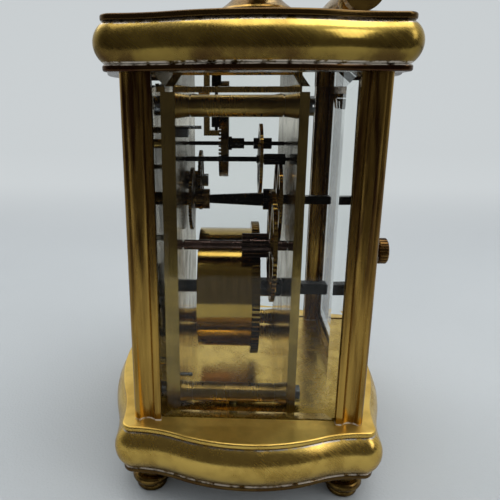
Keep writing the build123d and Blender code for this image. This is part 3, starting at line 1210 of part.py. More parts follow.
def make_balance():
    """Two-arm balance with its staff and roller."""
    low, high = (PLATFORM_TOP + level for level in LEVEL_BALANCE)
    x, y = BALANCE_AT
    rim = Circle(BALANCE_R) - Circle(BALANCE_R - 0.9)
    arm = Rot(0, 0, ESCAPEMENT_TURN + 90) * Rectangle(2 * BALANCE_R - 1, 1.1) + Circle(1.3)
    body = slab_z(rim, x, y, low, high) + slab_z(arm, x, y, low + 0.2, high - 0.2)
    for turn in range(0, 360, 45):
        screw = Pos(x, y, (low + high) / 2) * Rot(0, 90, turn + ESCAPEMENT_TURN)
        body += screw * Pos(0, 0, BALANCE_R - 0.1) * Cylinder(0.35, 0.7, align=LOW)
    body += post_z(x, y, PLATFORM_TOP + 0.3, PLATFORM_TOP + LEVEL_BALANCE_COCK[0] - 0.2, 0.5)
    body += post_z(x, y, PLATFORM_TOP + LEVEL_ESCAPE[0] - 0.2, PLATFORM_TOP + LEVEL_ESCAPE[1] + 0.3, 1.1)
    return body + post_z(x, y, PLATE_TOP + 0.2, PLATFORM_TOP + LEVEL_BALANCE_COCK[1] - 0.2, PIVOT_R)


def make_hairspring():
    """Flat spiral around the staff, its outer end on a stud under the cock."""
    low, high = (PLATFORM_TOP + level for level in LEVEL_SPRING)
    turns, inner, outer, blade = 5, 1.3, 3.9, 0.13
    count = turns * 18

    def spiral(offset, step):
        angle = 2 * math.pi * turns * step / count
        r = inner + (outer - inner) * step / count + offset
        return (r * math.cos(angle), r * math.sin(angle))

    points = [spiral(0, step) for step in range(count + 1)]
    points += [spiral(blade, step) for step in range(count, -1, -1)]
    body = slab_z(make_face(Polyline(*points, close=True)), *BALANCE_AT, low, high)
    collet = Circle(inner + blade / 2) - Circle(0.62)
    body += slab_z(collet, *BALANCE_AT, low, high)
    stud_x = BALANCE_AT[0] + outer + blade / 2
    return body + post_z(stud_x, BALANCE_AT[1], low, PLATFORM_TOP + LEVEL_BALANCE_COCK[0], 0.4)


def make_balance_cock():
    """Cock over the balance, standing on one foot beyond its rim."""
    low, high = (PLATFORM_TOP + level for level in LEVEL_BALANCE_COCK)
    foot = along_line(BALANCE_AT, BALANCE_R + 2.7)
    wide = Pos(*BALANCE_AT) * Circle(2.6)
    stud = (BALANCE_AT[0] + 4.0, BALANCE_AT[1])
    face = rounded_bar(foot, BALANCE_AT, 1.9) + wide + rounded_bar(BALANCE_AT, stud, 0.9)
    body = slab_z(face, 0, 0, low, high)
    body += post_z(*foot, PLATFORM_TOP, low, 1.9)
    return body - post_z(*BALANCE_AT, low, high, PIVOT_R + RUN)


# ---- every sub-part, by name --------------------------------------------------------------
def all_parts():
    parts = {"base": make_base(), "cornice": make_cornice()}
    names = {(-1, -1): "front_left", (1, -1): "front_right", (-1, 1): "back_left", (1, 1): "back_right"}
    for (side_x, side_y), name in names.items():
        parts[f"pillar_{name}"] = make_pillar(side_x, side_y)
        parts[f"foot_{name}"] = make_foot(side_x * PILLAR_X, side_y * PILLAR_Y)
    for side, name in ((-1, "left"), (1, "right")):
        parts[f"glass_{name}"] = make_side_glass(side)
        parts[f"handle_post_{name}"] = make_handle_post(side)
    single = (
        make_front_glass, make_top_glass, make_case_screws, make_door_frame, make_door_glass,
        make_door_knob, make_handle_bail, make_handle_pins, make_front_plate, make_back_plate,
        make_plate_pillars, make_plate_screws, make_movement_screws, make_front_plate_fittings,
        make_barrel, make_barrel_cover, make_mainspring, make_barrel_arbor, make_ratchet_wheel,
        make_click, make_click_spring, make_intermediate_wheel, make_intermediate_arbor,
        make_centre_wheel, make_centre_arbor, make_cannon_pinion, make_minute_wheel,
        make_minute_stud, make_hour_wheel, make_third_wheel, make_third_arbor,
        make_contrate_wheel, make_contrate_arbor, make_dial, make_dial_mask, make_minute_hand,
        make_hour_hand, make_platform, make_platform_screws, make_potence, make_escape_wheel,
        make_lever, make_escape_cock, make_balance, make_hairspring, make_balance_cock,
    )
    for make in single:
        parts[make.__name__.removeprefix("make_")] = make()
    return parts


def write(parts):
    os.makedirs("parts", exist_ok=True)
    for name, shape in parts.items():
        solids = shape if isinstance(shape, list) else [shape]
        group = Compound(children=[Solid(s.wrapped) for piece in solids for s in piece.solids()])
        export_step(group, f"parts/{name}.step")


write(all_parts())
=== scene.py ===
"""Brass carriage clock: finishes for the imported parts, and the printed, jewelled and steel detail."""

from __future__ import annotations

import json
import logging
import math
from dataclasses import dataclass, field
from enum import Enum
from typing import Any, Iterable

import bpy
from mathutils import Matrix, Vector

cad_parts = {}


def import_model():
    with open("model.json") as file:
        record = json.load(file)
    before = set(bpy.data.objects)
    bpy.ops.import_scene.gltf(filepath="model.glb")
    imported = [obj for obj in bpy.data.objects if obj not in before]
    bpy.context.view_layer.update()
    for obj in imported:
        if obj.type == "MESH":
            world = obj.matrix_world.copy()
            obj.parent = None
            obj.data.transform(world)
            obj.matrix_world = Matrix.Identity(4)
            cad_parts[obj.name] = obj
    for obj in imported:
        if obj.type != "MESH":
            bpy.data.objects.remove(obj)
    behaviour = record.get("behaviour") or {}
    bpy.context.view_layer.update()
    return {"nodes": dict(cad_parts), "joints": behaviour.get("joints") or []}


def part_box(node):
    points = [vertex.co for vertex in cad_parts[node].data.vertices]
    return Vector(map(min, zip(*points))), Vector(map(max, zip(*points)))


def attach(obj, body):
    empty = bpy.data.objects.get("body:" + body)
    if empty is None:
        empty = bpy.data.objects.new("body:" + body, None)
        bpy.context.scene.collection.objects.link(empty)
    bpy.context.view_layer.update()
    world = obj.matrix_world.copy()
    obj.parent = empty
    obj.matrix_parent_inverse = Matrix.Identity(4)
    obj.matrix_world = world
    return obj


log = logging.getLogger("carriage_clock")

MM = 0.001
SMOOTH = {"interpolation_type": "SMOOTHSTEP"}
SMOOTHING_ANGLE = math.radians(40)
BEVEL_ANGLE = 0.9

Socket = bpy.types.NodeSocket
Node = bpy.types.Node
Tree = bpy.types.NodeTree
Obj = bpy.types.Object
Material = bpy.types.Material


# ---- colour and nodes -----------------------------------------------------------------------


def srgb(value: str) -> tuple[float, float, float, float]:
    """Turn an sRGB hex value into a linear colour.

    Args:
        value: six hex digits.

    Returns:
        Red, green, blue and an alpha of 1, linear.
    """
    channels = [int(value[i : i + 2], 16) / 255 for i in (0, 2, 4)]
    linear = [c / 12.92 if c <= 0.04045 else ((c + 0.055) / 1.055) ** 2.4 for c in channels]
    return (linear[0], linear[1], linear[2], 1.0)


def per_mm(size: float) -> float:
    """Scale that gives a noise pattern patches of this many millimetres."""
    return 1.0 / (size * MM)


def add_node(
    tree: Tree,
    kind: str,
    settings: dict[Any, Any] | None = None,
    links: dict[Any, Node | Socket] | None = None,
) -> Node:
    """Add one node to a tree.

    Args:
        tree: the node tree.
        kind: the node's type, without the leading "ShaderNode".
        settings: values for its properties, or for its inputs by name or number.
        links: what feeds its inputs, by name or number: a socket, or a node for its first output.

    Returns:
        The new node.
    """
    node = tree.nodes.new("ShaderNode" + kind)
    for key, value in (settings or {}).items():
        if isinstance(key, str) and hasattr(node, key):
            setattr(node, key, value)
        else:
            node.inputs[key].default_value = value
    for key, source in (links or {}).items():
        socket = source if isinstance(source, Socket) else source.outputs[0]
        tree.links.new(socket, node.inputs[key])
    return node


def bare_material(name: str) -> tuple[Material, Tree, Socket]:
    """Start a material with no nodes but its Object coordinates.

    Args:
        name: the finish's name.

    Returns:
        The material, its tree and the coordinates, which are metres from the clock's origin.
    """
    material = bpy.data.materials.new(name)
    material.use_nodes = True
    tree = material.node_tree
    tree.nodes.clear()
    return material, tree, add_node(tree, "TexCoord").outputs["Object"]


def height_band(
    tree: Tree, height: Socket, level_mm: float, span_mm: tuple[float, float], most: float
) -> Node:
    """Find the share of a mark that lies in a level band: painted shade on a fillet, or dried polish in a
    cove.

    Args:
        tree: the node tree.
        height: the height of each point, in metres.
        level_mm: the middle of the band.
        span_mm: how far from the middle the share starts to fall, and where it ends.
        most: the share in the middle.

    Returns:
        The node that gives the share.
    """
    off = add_node(tree, "Math", {"operation": "SUBTRACT", 1: level_mm * MM}, {0: height})
    far = add_node(tree, "Math", {"operation": "ABSOLUTE"}, {0: off})
    span = {1: span_mm[0] * MM, 2: span_mm[1] * MM, 3: most, 4: 0.0}
    return add_node(tree, "MapRange", SMOOTH | span, {0: far})


# ---- finishes -------------------------------------------------------------------------------


class Grain(Enum):
    """The way a brass piece was rubbed: how its coordinates turn, in radians."""

    SLANTING = (math.radians(38), 0.0, 0.0)
    UPRIGHT = (math.radians(90), 0.0, 0.0)
    LEVEL = (0.0, 0.0, 0.0)


@dataclass(frozen=True)
class CaseBrass:
    """Cast or drawn brass, hand polished long ago: gold where it is rubbed, brown where it isn't, with
    painted shade that browns it towards one height and on its thin fillets.
    """

    name: str
    gold: str = "CBA452"
    olive: str = "967438"
    brown: str = "3C2119"
    chalk: str = "C4BAAC"
    grain: Grain = Grain.SLANTING
    patch_mm: float = 9.0
    patch_stretch: tuple[float, float, float] = (1.0, 1.0, 1.0)
    tarnish_and_shade: float = 0.5
    patchy: float = 0.6
    # painted shade: the brown is full at the most shaded height and a quarter as heavy at the least
    painted_shade_least_mm: float = 0.0
    painted_shade_most_mm: float = 0.0
    gloss: tuple[float, float] = (0.14, 0.28)
    matt_above_mm: float = 1000.0
    polished_half_mm: tuple[float, float] = (0.0, 0.0)
    coves_mm: tuple[float, ...] = ()
    cove_half_mm: float = 0.40
    # painted shade: brown painted on the thin fillets at these heights
    shaded_fillets_mm: tuple[float, ...] = ()
    fillet_half_mm: float = 0.95
    fillet_shade_share: float = 0.85
    marks_mm: float = 0.3
    marks_deep_mm: float = 0.008
    pits_mm: float = 1.1
    crumbs_mm: float = 1.8

    def build(self) -> Material:
        """Make the material.

        Returns:
            Brass whose patches of tone and gloss show its age, with painted shade in brown towards one
            height and on its fillets, and dried polish in its coves.
        """
        material, tree, place = bare_material(self.name)
        axes = add_node(tree, "SeparateXYZ", {}, {0: place})
        # broad clouding, from old wax and handling
        drawn = add_node(tree, "Mapping", {"Scale": self.patch_stretch}, {"Vector": place})
        cloud = add_node(
            tree, "TexNoise", {"Scale": per_mm(self.patch_mm), "Detail": 4.0}, {"Vector": drawn}
        )
        # rubbing marks, coarser than real emery so that they show
        turned = add_node(tree, "Mapping", {"Rotation": self.grain.value}, {"Vector": place})
        combed = add_node(tree, "Mapping", {"Scale": (1.0, 0.05, 1.0)}, {"Vector": turned})
        marks = add_node(
            tree, "TexNoise", {"Scale": per_mm(self.marks_mm), "Detail": 2.0}, {"Vector": combed}
        )
        tone = self.tone(tree, drawn, cloud, axes)
        feeds: dict[Any, Node | Socket] = {
            "Roughness": self.roughness(tree, cloud, marks, axes),
            "Normal": self.relief(tree, place, marks),
        }
        if self.coves_mm:
            tone, packed = self.dried_polish(tree, place, axes, tone)
            feeds["Metallic"] = add_node(
                tree, "Math", {"operation": "SUBTRACT", 0: 1.0}, {1: packed}
            )
        feeds["Base Color"] = tone.outputs[2]
        shader = add_node(tree, "BsdfPrincipled", {"Metallic": 1.0}, feeds)
        add_node(tree, "OutputMaterial", {}, {"Surface": shader})
        return material

    def tone(self, tree: Tree, drawn: Node, cloud: Node, axes: Node) -> Node:
        """Mix the brass's colours.

        Args:
            tree: the node tree.
            drawn: coordinates stretched along the piece.
            cloud: the broad clouding.
            axes: the three coordinates apart.

        Returns:
            The mix of gold, olive and brown.
        """
        share = add_node(tree, "MapRange", SMOOTH | {1: 0.36, 2: 0.64}, {0: cloud})
        tone = add_node(
            tree, "Mix", {"data_type": "RGBA", 6: srgb(self.gold), 7: srgb(self.olive)}, {0: share}
        )
        # brown tarnish in patches half as wide; painted shade makes the brown heavier towards one height,
        # where the piece lies in shade
        rust = add_node(
            tree, "TexNoise", {"Scale": per_mm(self.patch_mm * 0.5), "Detail": 5.0}, {"Vector": drawn}
        )
        low, high = self.painted_shade_least_mm * MM, self.painted_shade_most_mm * MM + 1e-6
        # painted shade: the brown's share ramps with height, a quarter as heavy at the least shaded height
        # as at the most shaded
        depth = add_node(
            tree,
            "MapRange",
            SMOOTH | {1: low, 2: high, 3: 0.25 * self.tarnish_and_shade, 4: self.tarnish_and_shade},
            {0: axes.outputs["Z"]},
        )
        tarnish_and_shade_share = add_node(
            tree, "MapRange", SMOOTH | {1: 0.42, 2: 0.64, 3: 1.0 - self.patchy}, {0: rust}
        )
        tarnish_and_shade_share = add_node(tree, "Math", {"operation": "MULTIPLY"}, {0: tarnish_and_shade_share, 1: depth})
        # painted shade: the thin fillets are painted brown, for the dark that they mirror
        half = self.fillet_half_mm
        fillet_shades = [
            height_band(tree, axes.outputs["Z"], level, (0.8 * half, half), self.fillet_shade_share)
            for level in self.shaded_fillets_mm
        ]
        for share in (tarnish_and_shade_share, *fillet_shades):
            tone = add_node(
                tree,
                "Mix",
                {"data_type": "RGBA", 7: srgb(self.brown)},
                {0: share, 6: tone.outputs[2]},
            )
        return tone

    def roughness(self, tree: Tree, cloud: Node, marks: Node, axes: Node) -> Node:
        """Work out how rough the brass is from its clouding, its marks and its unpolished flat.

        Args:
            tree: the node tree.
            cloud: the broad clouding.
            marks: the rubbing marks.
            axes: the three coordinates apart.

        Returns:
            The node that gives the roughness.
        """
        rough = add_node(
            tree, "MapRange", SMOOTH | {1: 0.3, 2: 0.7, 3: self.gloss[0], 4: self.gloss[1]}, {0: cloud}
        )
        scuff = add_node(tree, "MapRange", SMOOTH | {1: 0.35, 2: 0.7, 3: 0.0, 4: 0.08}, {0: marks})
        rough = add_node(tree, "Math", {"operation": "ADD"}, {0: rough, 1: scuff})
        # the flat on top was left as it was cast, but for the part that the glass keeps clean
        edge = self.matt_above_mm * MM
        matt = add_node(
            tree, "MapRange", {1: edge - 0.2 * MM, 2: edge, 4: 0.2}, {0: axes.outputs["Z"]}
        )
        kept = [
            add_node(
                tree,
                "MapRange",
                {1: half * MM, 2: (half + 0.5) * MM},
                {0: add_node(tree, "Math", {"operation": "ABSOLUTE"}, {0: axes.outputs[axis]})},
            )
            for axis, half in zip("XY", self.polished_half_mm)
        ]
        outside = add_node(tree, "Math", {"operation": "MAXIMUM"}, {0: kept[0], 1: kept[1]})
        matt = add_node(tree, "Math", {"operation": "MULTIPLY"}, {0: matt, 1: outside})
        return add_node(tree, "Math", {"operation": "ADD"}, {0: rough, 1: matt})

    def relief(self, tree: Tree, place: Socket, marks: Node) -> Node:
        """Raise the rubbing marks and sink the pits.

        Args:
            tree: the node tree.
            place: the Object coordinates.
            marks: the rubbing marks.

        Returns:
            The bump node.
        """
        # pits a third of a millimetre wide where the casting was porous
        pits = add_node(tree, "TexNoise", {"Scale": per_mm(self.pits_mm), "Detail": 1.0}, {"Vector": place})
        pits = add_node(tree, "MapRange", SMOOTH | {1: 0.74, 2: 0.80, 3: 1.0, 4: 0.0}, {0: pits})
        height = add_node(tree, "Math", {"operation": "MULTIPLY"}, {0: marks, 1: pits})
        return add_node(tree, "Bump", {"Distance": self.marks_deep_mm * MM}, {"Height": height})

    def dried_polish(self, tree: Tree, place: Socket, axes: Node, tone: Node) -> tuple[Node, Node]:
        """Lay chalky polish in the coves, in crumbs a millimetre or two long.

        Args:
            tree: the node tree.
            place: the Object coordinates.
            axes: the three coordinates apart.
            tone: the brass's colour.

        Returns:
            The colour with the polish in it, and where the last cove is packed so full that no
            metal shows. The coves before it hold a thin film.
        """
        crumbs = add_node(
            tree, "TexNoise", {"Scale": per_mm(self.crumbs_mm), "Detail": 4.0}, {"Vector": place}
        )
        crumbs = add_node(tree, "MapRange", SMOOTH | {1: 0.34, 2: 0.54}, {0: crumbs})
        half = self.cove_half_mm
        for level in self.coves_mm:
            line = height_band(tree, axes.outputs["Z"], level, (0.5 * half, half), 1.0)
            packed = add_node(tree, "Math", {"operation": "MULTIPLY"}, {0: line, 1: crumbs})
            tone = add_node(
                tree,
                "Mix",
                {"data_type": "RGBA", 7: srgb(self.chalk)},
                {0: packed, 6: tone.outputs[2]},
            )
        return tone, packed


@dataclass(frozen=True)
class MovementBrass:
    """Rolled brass, grained with a stone and lacquered: cleaner than the case."""

    name: str
    gold: str = "CDAF62"
    shade: str = "9C7F3E"
    patch_mm: float = 9.0
    gloss: tuple[float, float] = (0.10, 0.20)
    comb: tuple[float, float, float] = (1.0, 1.0, 0.05)
    axle: tuple[float, float, float] = (0.0, 0.0, 0.0)
    teeth_from_mm: float = 1000.0
    tooth_mm: float = 1.6
    # painted shade between the teeth
    tooth_shade: str = "33261A"
    lines_mm: float = 0.5
    lines_deep_mm: float = 0.0015

    def build(self) -> Material:
        """Make the material.

        Returns:
            Clean brass with a fine grain that softens its reflections.
        """
        material, tree, place = bare_material(self.name)
        # slow changes of tone across a plate, where the lacquer has thinned
        cloud = add_node(
            tree, "TexNoise", {"Scale": per_mm(self.patch_mm), "Detail": 3.0}, {"Vector": place}
        )
        share = add_node(tree, "MapRange", SMOOTH | {1: 0.36, 2: 0.70}, {0: cloud})
        tone = add_node(
            tree, "Mix", {"data_type": "RGBA", 6: srgb(self.gold), 7: srgb(self.shade)}, {0: share}
        )
        # painted shade between the teeth, darkest at their roots and lighter at their tips
        out = add_node(tree, "VectorMath", {"operation": "SUBTRACT", 1: self.axle}, {0: place})
        out = add_node(tree, "VectorMath", {"operation": "MULTIPLY", 1: (1.0, 0.0, 1.0)}, {0: out})
        radius = add_node(tree, "VectorMath", {"operation": "LENGTH"}, {0: out}).outputs["Value"]
        root, tip = self.teeth_from_mm * MM, (self.teeth_from_mm + self.tooth_mm) * MM
        beyond = add_node(tree, "MapRange", {1: root, 2: root + 0.1 * MM}, {0: radius})
        thin = add_node(tree, "MapRange", {1: root, 2: tip, 3: 1.0, 4: 0.30}, {0: radius})
        # painted shade on the teeth: full at their roots, about a third at their tips
        oiled = add_node(tree, "Math", {"operation": "MULTIPLY"}, {0: beyond, 1: thin})
        tone = add_node(
            tree, "Mix", {"data_type": "RGBA", 7: srgb(self.tooth_shade)}, {0: oiled, 6: tone.outputs[2]}
        )
        # graining from the finishing stone or the lathe, drawn coarse enough to show
        combed = add_node(tree, "Mapping", {"Scale": self.comb}, {"Vector": place})
        lines = add_node(
            tree, "TexNoise", {"Scale": per_mm(self.lines_mm), "Detail": 1.0}, {"Vector": combed}
        )
        rough = add_node(
            tree, "MapRange", SMOOTH | {1: 0.3, 2: 0.7, 3: self.gloss[0], 4: self.gloss[1]}, {0: cloud}
        )
        scuff = add_node(tree, "MapRange", SMOOTH | {1: 0.35, 2: 0.7, 3: 0.0, 4: 0.06}, {0: lines})
        rough = add_node(tree, "Math", {"operation": "ADD"}, {0: rough, 1: scuff})
        bump = add_node(tree, "Bump", {"Distance": self.lines_deep_mm * MM}, {"Height": lines})
        shader = add_node(
            tree,
            "BsdfPrincipled",
            {"Metallic": 1.0},
            {"Base Color": tone.outputs[2], "Roughness": rough, "Normal": bump},
        )
        add_node(tree, "OutputMaterial", {}, {"Surface": shader})
        return material


@dataclass(frozen=True)
class Steel:
    """Cut steel: grey where polished, near black on oiled arbors, blue where tempered."""

    name: str
    light: str
    dark: str
    gloss: tuple[float, float] = (0.20, 0.38)

    def build(self) -> Material:
        """Make the material.

        Returns:
            Steel with turning marks and a thin uneven film of oil.
        """
        material, tree, place = bare_material(self.name)
        film = add_node(tree, "TexNoise", {"Scale": per_mm(7.0), "Detail": 3.0}, {"Vector": place})
        share = add_node(tree, "MapRange", SMOOTH | {1: 0.35, 2: 0.65}, {0: film})
        tone = add_node(
            tree, "Mix", {"data_type": "RGBA", 6: srgb(self.light), 7: srgb(self.dark)}, {0: share}
        )
        # turning marks 0.25 mm apart round the arbors, which run front to back
        combed = add_node(tree, "Mapping", {"Scale": (0.15, 1.0, 0.15)}, {"Vector": place})
        marks = add_node(tree, "TexNoise", {"Scale": per_mm(0.25), "Detail": 2.0}, {"Vector": combed})
        rough = add_node(
            tree, "MapRange", SMOOTH | {1: 0.3, 2: 0.7, 3: self.gloss[0], 4: self.gloss[1]}, {0: film}
        )
        bump = add_node(tree, "Bump", {"Distance": 0.004 * MM}, {"Height": marks})
        shader = add_node(
            tree,
            "BsdfPrincipled",
            {"Metallic": 1.0},
            {"Base Color": tone.outputs[2], "Roughness": rough, "Normal": bump},
        )
        add_node(tree, "OutputMaterial", {}, {"Surface": shader})
        return material


@dataclass(frozen=True)
class Enamel:
    """Vitreous enamel fired on copper: glassy, with the long low waves that firing leaves."""

    name: str
    ground: str
    thin: str
    dust: str = "8C8474"
    wave_mm: float = 5.0

    def build(self) -> Material:
        """Make the material.

        Returns:
            Enamel with tiny specks of dust under a glossy clear top.
        """
        material, tree, place = bare_material(self.name)
        cloud = add_node(tree, "TexNoise", {"Scale": per_mm(8.0), "Detail": 3.0}, {"Vector": place})
        share = add_node(tree, "MapRange", SMOOTH | {1: 0.35, 2: 0.65}, {0: cloud})
        tone = add_node(
            tree, "Mix", {"data_type": "RGBA", 6: srgb(self.ground), 7: srgb(self.thin)}, {0: share}
        )
        # specks of dust half a millimetre across, fired in
        specks = add_node(tree, "TexNoise", {"Scale": per_mm(0.5), "Detail": 2.0}, {"Vector": place})
        specks = add_node(tree, "MapRange", SMOOTH | {1: 0.70, 2: 0.80, 4: 0.35}, {0: specks})
        tone = add_node(
            tree, "Mix", {"data_type": "RGBA", 7: srgb(self.dust)}, {0: specks, 6: tone.outputs[2]}
        )
        waves = add_node(tree, "TexNoise", {"Scale": per_mm(self.wave_mm)}, {"Vector": place})
        bump = add_node(tree, "Bump", {"Distance": 0.015 * MM}, {"Height": waves})
        shader = add_node(
            tree,
            "BsdfPrincipled",
            {"Roughness": 0.12, "Coat Weight": 0.5, "Coat Roughness": 0.04},
            {"Base Color": tone.outputs[2], "Normal": bump},
        )
        add_node(tree, "OutputMaterial", {}, {"Surface": shader})
        return material


@dataclass(frozen=True)
class Ruby:
    """Pierced ruby for the fine pivots: deep red, glassy, lighter where the stone is thin."""

    name: str = "pierced_ruby"
    deep: str = "8E1027"
    thin: str = "CC3358"

    def build(self) -> Material:
        """Make the material.

        Returns:
            Red stone with a very high polish.
        """
        material, tree, place = bare_material(self.name)
        depth = add_node(tree, "TexNoise", {"Scale": per_mm(0.6), "Detail": 2.0}, {"Vector": place})
        tone = add_node(
            tree, "Mix", {"data_type": "RGBA", 6: srgb(self.deep), 7: srgb(self.thin)}, {0: depth}
        )
        bump = add_node(tree, "Bump", {"Distance": 0.002 * MM}, {"Height": depth})
        shader = add_node(
            tree,
            "BsdfPrincipled",
            {"Roughness": 0.06, "IOR": 1.77, "Coat Weight": 0.5},
            {"Base Color": tone.outputs[2], "Normal": bump},
        )
        add_node(tree, "OutputMaterial", {}, {"Surface": shader})
        return material


@dataclass(frozen=True)
class PlateGlass:
    """Polished plate glass with ground bevels, under a dull film that holds back its reflections."""

    name: str = "bevelled_plate_glass"
    film: str = "A4A4A4"
    clear: str = "FEFFFE"
    smeared: str = "F8FAF8"
    shadow: str = "F6F9F6"

    def build(self) -> Material:
        """Make the material.

        Returns:
            Clear glass that lets lamplight through to what is behind it.
        """
        material, tree, place = bare_material(self.name)
        smears = add_node(tree, "TexNoise", {"Scale": per_mm(14.0), "Detail": 3.0}, {"Vector": place})
        tone = add_node(
            tree, "Mix", {"data_type": "RGBA", 6: srgb(self.clear), 7: srgb(self.smeared)}, {0: smears}
        )
        glass = add_node(
            tree,
            "BsdfPrincipled",
            {
                "Roughness": 0.0,
                "IOR": 1.5,
                "Transmission Weight": 1.0,
                "Specular Tint": srgb(self.film),
            },
            {"Base Color": tone.outputs[2]},
        )
        path = add_node(tree, "LightPath")
        passed = add_node(tree, "BsdfTransparent", {"Color": srgb(self.shadow)})
        mixed = add_node(tree, "MixShader", {}, {0: path.outputs["Is Shadow Ray"], 1: glass, 2: passed})
        add_node(tree, "OutputMaterial", {}, {"Surface": mixed})
        return material


@dataclass(frozen=True)
class Linen:
    """Plain white cloth under and behind the clock."""

    name: str = "pale_linen_cloth"
    cloth: str = "BBBFC1"
    fold: str = "B0B4B6"
    # painted shade on the back of the floor
    back: str = "A6AAAD"
    hanging: str = "D2D7D9"
    weave_mm: float = 0.8
    folds_mm: float = 120.0
    backlit: float = 0.85
    far_shade_m: tuple[float, float] = (-0.05, -0.45)
    distant_m: tuple[float, float] = (-0.12, -0.50)
    hung_m: tuple[float, float] = (0.0, 0.05)

    def build(self) -> Material:
        """Make the material.

        Returns:
            Matt cloth with a fine weave, soft folds of tone and painted shade towards the back of the
            floor, and an even light behind the part that hangs.
        """
        material, tree, place = bare_material(self.name)
        # slow changes of tone, a hand's width across
        folds = add_node(
            tree, "TexNoise", {"Scale": per_mm(self.folds_mm), "Detail": 2.0}, {"Vector": place}
        )
        tone = add_node(
            tree, "Mix", {"data_type": "RGBA", 6: srgb(self.cloth), 7: srgb(self.fold)}, {0: folds}
        )
        # painted shade: greyer towards the back of the floor
        where = add_node(tree, "SeparateXYZ", {}, {0: place})
        near, far = self.far_shade_m
        back = add_node(tree, "MapRange", SMOOTH | {1: near, 2: far}, {0: where.outputs["X"]})
        tone = add_node(
            tree, "Mix", {"data_type": "RGBA", 7: srgb(self.back)}, {0: back, 6: tone.outputs[2]}
        )
        # a plain weave
        weave = add_node(
            tree, "TexNoise", {"Scale": per_mm(self.weave_mm), "Detail": 2.0}, {"Vector": place}
        )
        bump = add_node(tree, "Bump", {"Distance": 0.12 * MM}, {"Height": weave})
        shader = add_node(
            tree,
            "BsdfPrincipled",
            {"Roughness": 0.95, "Specular IOR Level": 0.1},
            {"Base Color": tone.outputs[2], "Normal": bump},
        )
        share = self.light_behind(tree, where)
        glow = add_node(tree, "Emission", {"Color": srgb(self.hanging)})
        mixed = add_node(tree, "MixShader", {}, {0: share, 1: shader, 2: glow})
        add_node(tree, "OutputMaterial", {}, {"Surface": mixed})
        return material

    def light_behind(self, tree: Tree, where: Node) -> Node:
        """Find how far the cloth shows at an even pale tone, as a lit backdrop does.

        Args:
            tree: the node tree.
            where: the three coordinates apart.

        Returns:
            The node that gives the share. It is 0 for light that the cloth throws on the clock.
        """
        path = add_node(tree, "LightPath")
        low, high = self.hung_m
        hung = add_node(
            tree, "MapRange", SMOOTH | {1: low, 2: high, 4: self.backlit}, {0: where.outputs["Z"]}
        )
        # the far floor too, but not in a mirror: brass shows its true darker tone
        near, far = self.distant_m
        distant = add_node(
            tree, "MapRange", SMOOTH | {1: near, 2: far, 4: self.backlit}, {0: where.outputs["X"]}
        )
        straight = add_node(
            tree,
            "Math",
            {"operation": "SUBTRACT", 0: 1.0, "use_clamp": True},
            {1: path.outputs["Glossy Depth"]},
        )
        distant = add_node(tree, "Math", {"operation": "MULTIPLY"}, {0: distant, 1: straight})
        share = add_node(tree, "Math", {"operation": "MAXIMUM"}, {0: hung, 1: distant})
        seen = add_node(
            tree, "Math", {"operation": "SUBTRACT", 0: 1.0}, {1: path.outputs["Is Diffuse Ray"]}
        )
        return add_node(tree, "Math", {"operation": "MULTIPLY"}, {0: share, 1: seen})


# ---- making and dressing pieces -------------------------------------------------------------


def dress(nodes: dict[str, Obj], names: Iterable[str], material: Material) -> None:
    """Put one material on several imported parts.

    Args:
        nodes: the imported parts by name.
        names: the parts to dress.
        material: what they are made of.
    """
    for name in names:
        nodes[name].data.materials.clear()
        nodes[name].data.materials.append(material)


def deselect() -> None:
    """Leave nothing selected, so that the next operator acts on one new piece only."""
    bpy.ops.object.select_all(action="DESELECT")


def set_place(piece: Obj, place: Matrix) -> None:
    """Move a piece and write its place into its mesh, leaving the object at the origin.

    Args:
        piece: a mesh object, which ends up as the only one selected.
        place: where it goes, from where it was modelled.
    """
    deselect()
    piece.select_set(True)
    bpy.context.view_layer.objects.active = piece
    piece.matrix_world = place @ piece.matrix_world
    bpy.ops.object.transform_apply(location=True, rotation=True, scale=True)


def apply_modifier(piece: Obj, kind: str, settings: dict[str, Any]) -> None:
    """Add a modifier to the active piece and apply it.

    Args:
        piece: the active mesh object.
        kind: the modifier's type.
        settings: its properties.
    """
    modifier = piece.modifiers.new(kind.lower(), kind)
    for key, value in settings.items():
        setattr(modifier, key, value)
    bpy.ops.object.modifier_apply(modifier=modifier.name)


def copied(source: Obj, place: Matrix) -> Obj:
    """Copy a piece with a mesh of its own.

    Args:
        source: the piece modelled once.
        place: where the copy goes, from where the source was modelled.

    Returns:
        The copy, at its place.
    """
    twin = source.copy()
    twin.data = source.data.copy()
    bpy.context.collection.objects.link(twin)
    set_place(twin, place)
    return twin


def discard(*sources: Obj) -> None:
    """Remove what was modelled only to be copied."""
    for source in sources:
        bpy.data.objects.remove(source, do_unlink=True)


def joined(pieces: list[Obj], name: str) -> Obj:
    """Join pieces into one.

    Args:
        pieces: mesh objects with their places in their meshes.
        name: the name of the result.

    Returns:
        The one object.
    """
    deselect()
    for piece in pieces:
        piece.select_set(True)
    bpy.context.view_layer.objects.active = pieces[0]
    if len(pieces) > 1:
        bpy.ops.object.join()
    pieces[0].name = name
    pieces[0].data.name = name
    return pieces[0]


def finish_piece(piece: Obj, body: str, material: Material) -> None:
    """Give a finished piece its material and the body it moves with.

    Args:
        piece: the piece.
        body: the moving body it rides on.
        material: what it is made of.
    """
    piece.data.materials.clear()
    piece.data.materials.append(material)
    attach(piece, body)
    log.info("piece %s: %d faces, rides on %s", piece.name, len(piece.data.polygons), body)


def soften_edges(piece: Obj, bevel: float) -> None:
    """Bevel the sharp edges of the active piece and smooth what is left.

    Args:
        piece: the active mesh object.
        bevel: the width of the bevel, in millimetres.
    """
    width = {"width": bevel * MM, "segments": 2}
    apply_modifier(piece, "BEVEL", width | {"limit_method": "ANGLE", "angle_limit": BEVEL_ANGLE})
    bpy.ops.object.shade_smooth_by_angle(angle=SMOOTHING_ANGLE)


